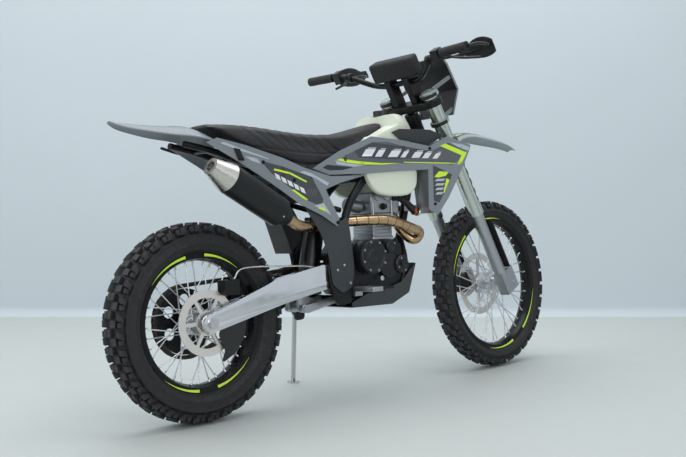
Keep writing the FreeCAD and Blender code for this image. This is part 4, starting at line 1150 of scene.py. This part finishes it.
def one_sided(name, color):
    """Paint that shows on a sheet's front, and lets its back be looked through."""
    nodes = Nodes(name)
    nodes.shader.inputs["Roughness"].default_value = 0.6
    nodes.link(mottled(nodes, color, 0.02, 8), nodes.shader.inputs["Base Color"])
    output = nodes.tree.nodes["Material Output"]
    clear = nodes.add("ShaderNodeBsdfTransparent")
    mix = nodes.add("ShaderNodeMixShader")
    nodes.link(nodes.add("ShaderNodeNewGeometry").outputs["Backfacing"], mix.inputs[0])
    nodes.link(nodes.shader.outputs[0], mix.inputs[1])
    nodes.link(clear.outputs[0], mix.inputs[2])
    nodes.link(mix.outputs[0], output.inputs["Surface"])
    return nodes.material


def sheet(name, points, faces, material):
    """Piece of the studio, which isn't part of the object."""
    mesh = bpy.data.meshes.new(name)
    mesh.from_pydata([tuple(point) for point in points], [], faces)
    mesh.shade_smooth()
    mesh.materials.append(material)
    new_object("studio_" + name, mesh)


def backdrop():
    """Floor and wall with a tight cove, square to the camera's heading, and a floor behind the wall."""
    profile = [(FLOOR_START, 0.0)]
    for step in range(9):
        angle = math.radians(90 * step / 8)
        profile.append((WALL_DISTANCE - COVE + COVE * math.sin(angle), COVE - COVE * math.cos(angle)))
    profile.append((WALL_DISTANCE, WALL_HEIGHT))
    heading = Vector((math.cos(CAMERA_YAW), math.sin(CAMERA_YAW), 0))
    side = Vector((heading.y, -heading.x, 0))
    origin = Vector((CAMERA_SPOT[0], CAMERA_SPOT[1], 0)) + Vector((SHIFT.x, SHIFT.y, 0))

    def spot(along, across, up=0.0):
        return origin + heading * along + side * across + Vector((0, 0, up))

    floor_color = srgb(196, 202, 200)
    floor_paint = surface("floor_paint", floor_color, 0.6, vary=0.02, grain=8, bump=0.1)
    wall_paint = one_sided("wall_paint", srgb(203, 213, 219))
    for name, rows, paint in (("floor", profile[:2], floor_paint), ("wall", profile[1:], wall_paint)):
        points = [spot(along, across, up) for across in (-SHEET_HALF, SHEET_HALF) for along, up in rows]
        count = len(rows)
        sheet(name, points, [(i, count + i, count + i + 1, i + 1) for i in range(count - 1)], paint)
    near = WALL_DISTANCE - COVE
    far = [spot(near, -SHEET_HALF), spot(near, SHEET_HALF), spot(FLOOR_END, SHEET_HALF),
           spot(FLOOR_END, -SHEET_HALF)]
    sheet("far_floor", far, [(0, 1, 2, 3)], surface("far_paint", floor_color, 0.6, vary=0.02, grain=8))


def area_light(name, spot, aim, size, power):
    data = bpy.data.lights.new(name, "AREA")
    data.shape = "RECTANGLE"
    data.size, data.size_y = size
    data.energy = power
    light = new_object(name, data)
    light.location = spot
    light.rotation_mode = "QUATERNION"
    light.rotation_quaternion = (Vector(aim) - Vector(spot)).to_track_quat("-Z", "Y")


def lights():
    """Four soft lamps and an even world, which the camera and reflections see as a pale background."""
    area_light("overhead", (0.3, 0.2, 3.6), (0, 0, 0.4), (4.5, 3.0), 100)
    area_light("left_window", (-3.6, 1.2, 2.6), (0, 0, 0.6), (2.5, 2.0), 45)
    area_light("front_fill", (-1.5, -4.6, 2.4), (0, 0, 0.6), (3.0, 2.0), 50)
    area_light("wall_wash", (3.2, 1.2, 3.2), (4.4, 4.6, 1.0), (3.0, 2.0), 60)
    world = bpy.data.worlds.new("air")
    world.use_nodes = True
    tree = world.node_tree
    soft = tree.nodes["Background"]
    soft.inputs["Color"].default_value = (0.86, 0.90, 0.94, 1)
    soft.inputs["Strength"].default_value = 0.45
    seen = tree.nodes.new("ShaderNodeBackground")
    seen.inputs["Color"].default_value = (0.66, 0.71, 0.75, 1)
    paths = tree.nodes.new("ShaderNodeLightPath")
    rays = [paths.outputs[name] for name in ("Is Camera Ray", "Is Glossy Ray", "Is Transmission Ray")]
    for index in range(2):
        both = tree.nodes.new("ShaderNodeMath")
        both.operation = "MAXIMUM"
        tree.links.new(rays[0], both.inputs[0])
        tree.links.new(rays[index + 1], both.inputs[1])
        rays[0] = both.outputs[0]
    mix = tree.nodes.new("ShaderNodeMixShader")
    tree.links.new(rays[0], mix.inputs[0])
    tree.links.new(soft.outputs[0], mix.inputs[1])
    tree.links.new(seen.outputs[0], mix.inputs[2])
    tree.links.new(mix.outputs[0], tree.nodes["World Output"].inputs["Surface"])
    bpy.context.scene.world = world


camera()
backdrop()
lights()
bpy.context.scene.view_settings.view_transform = "Standard"
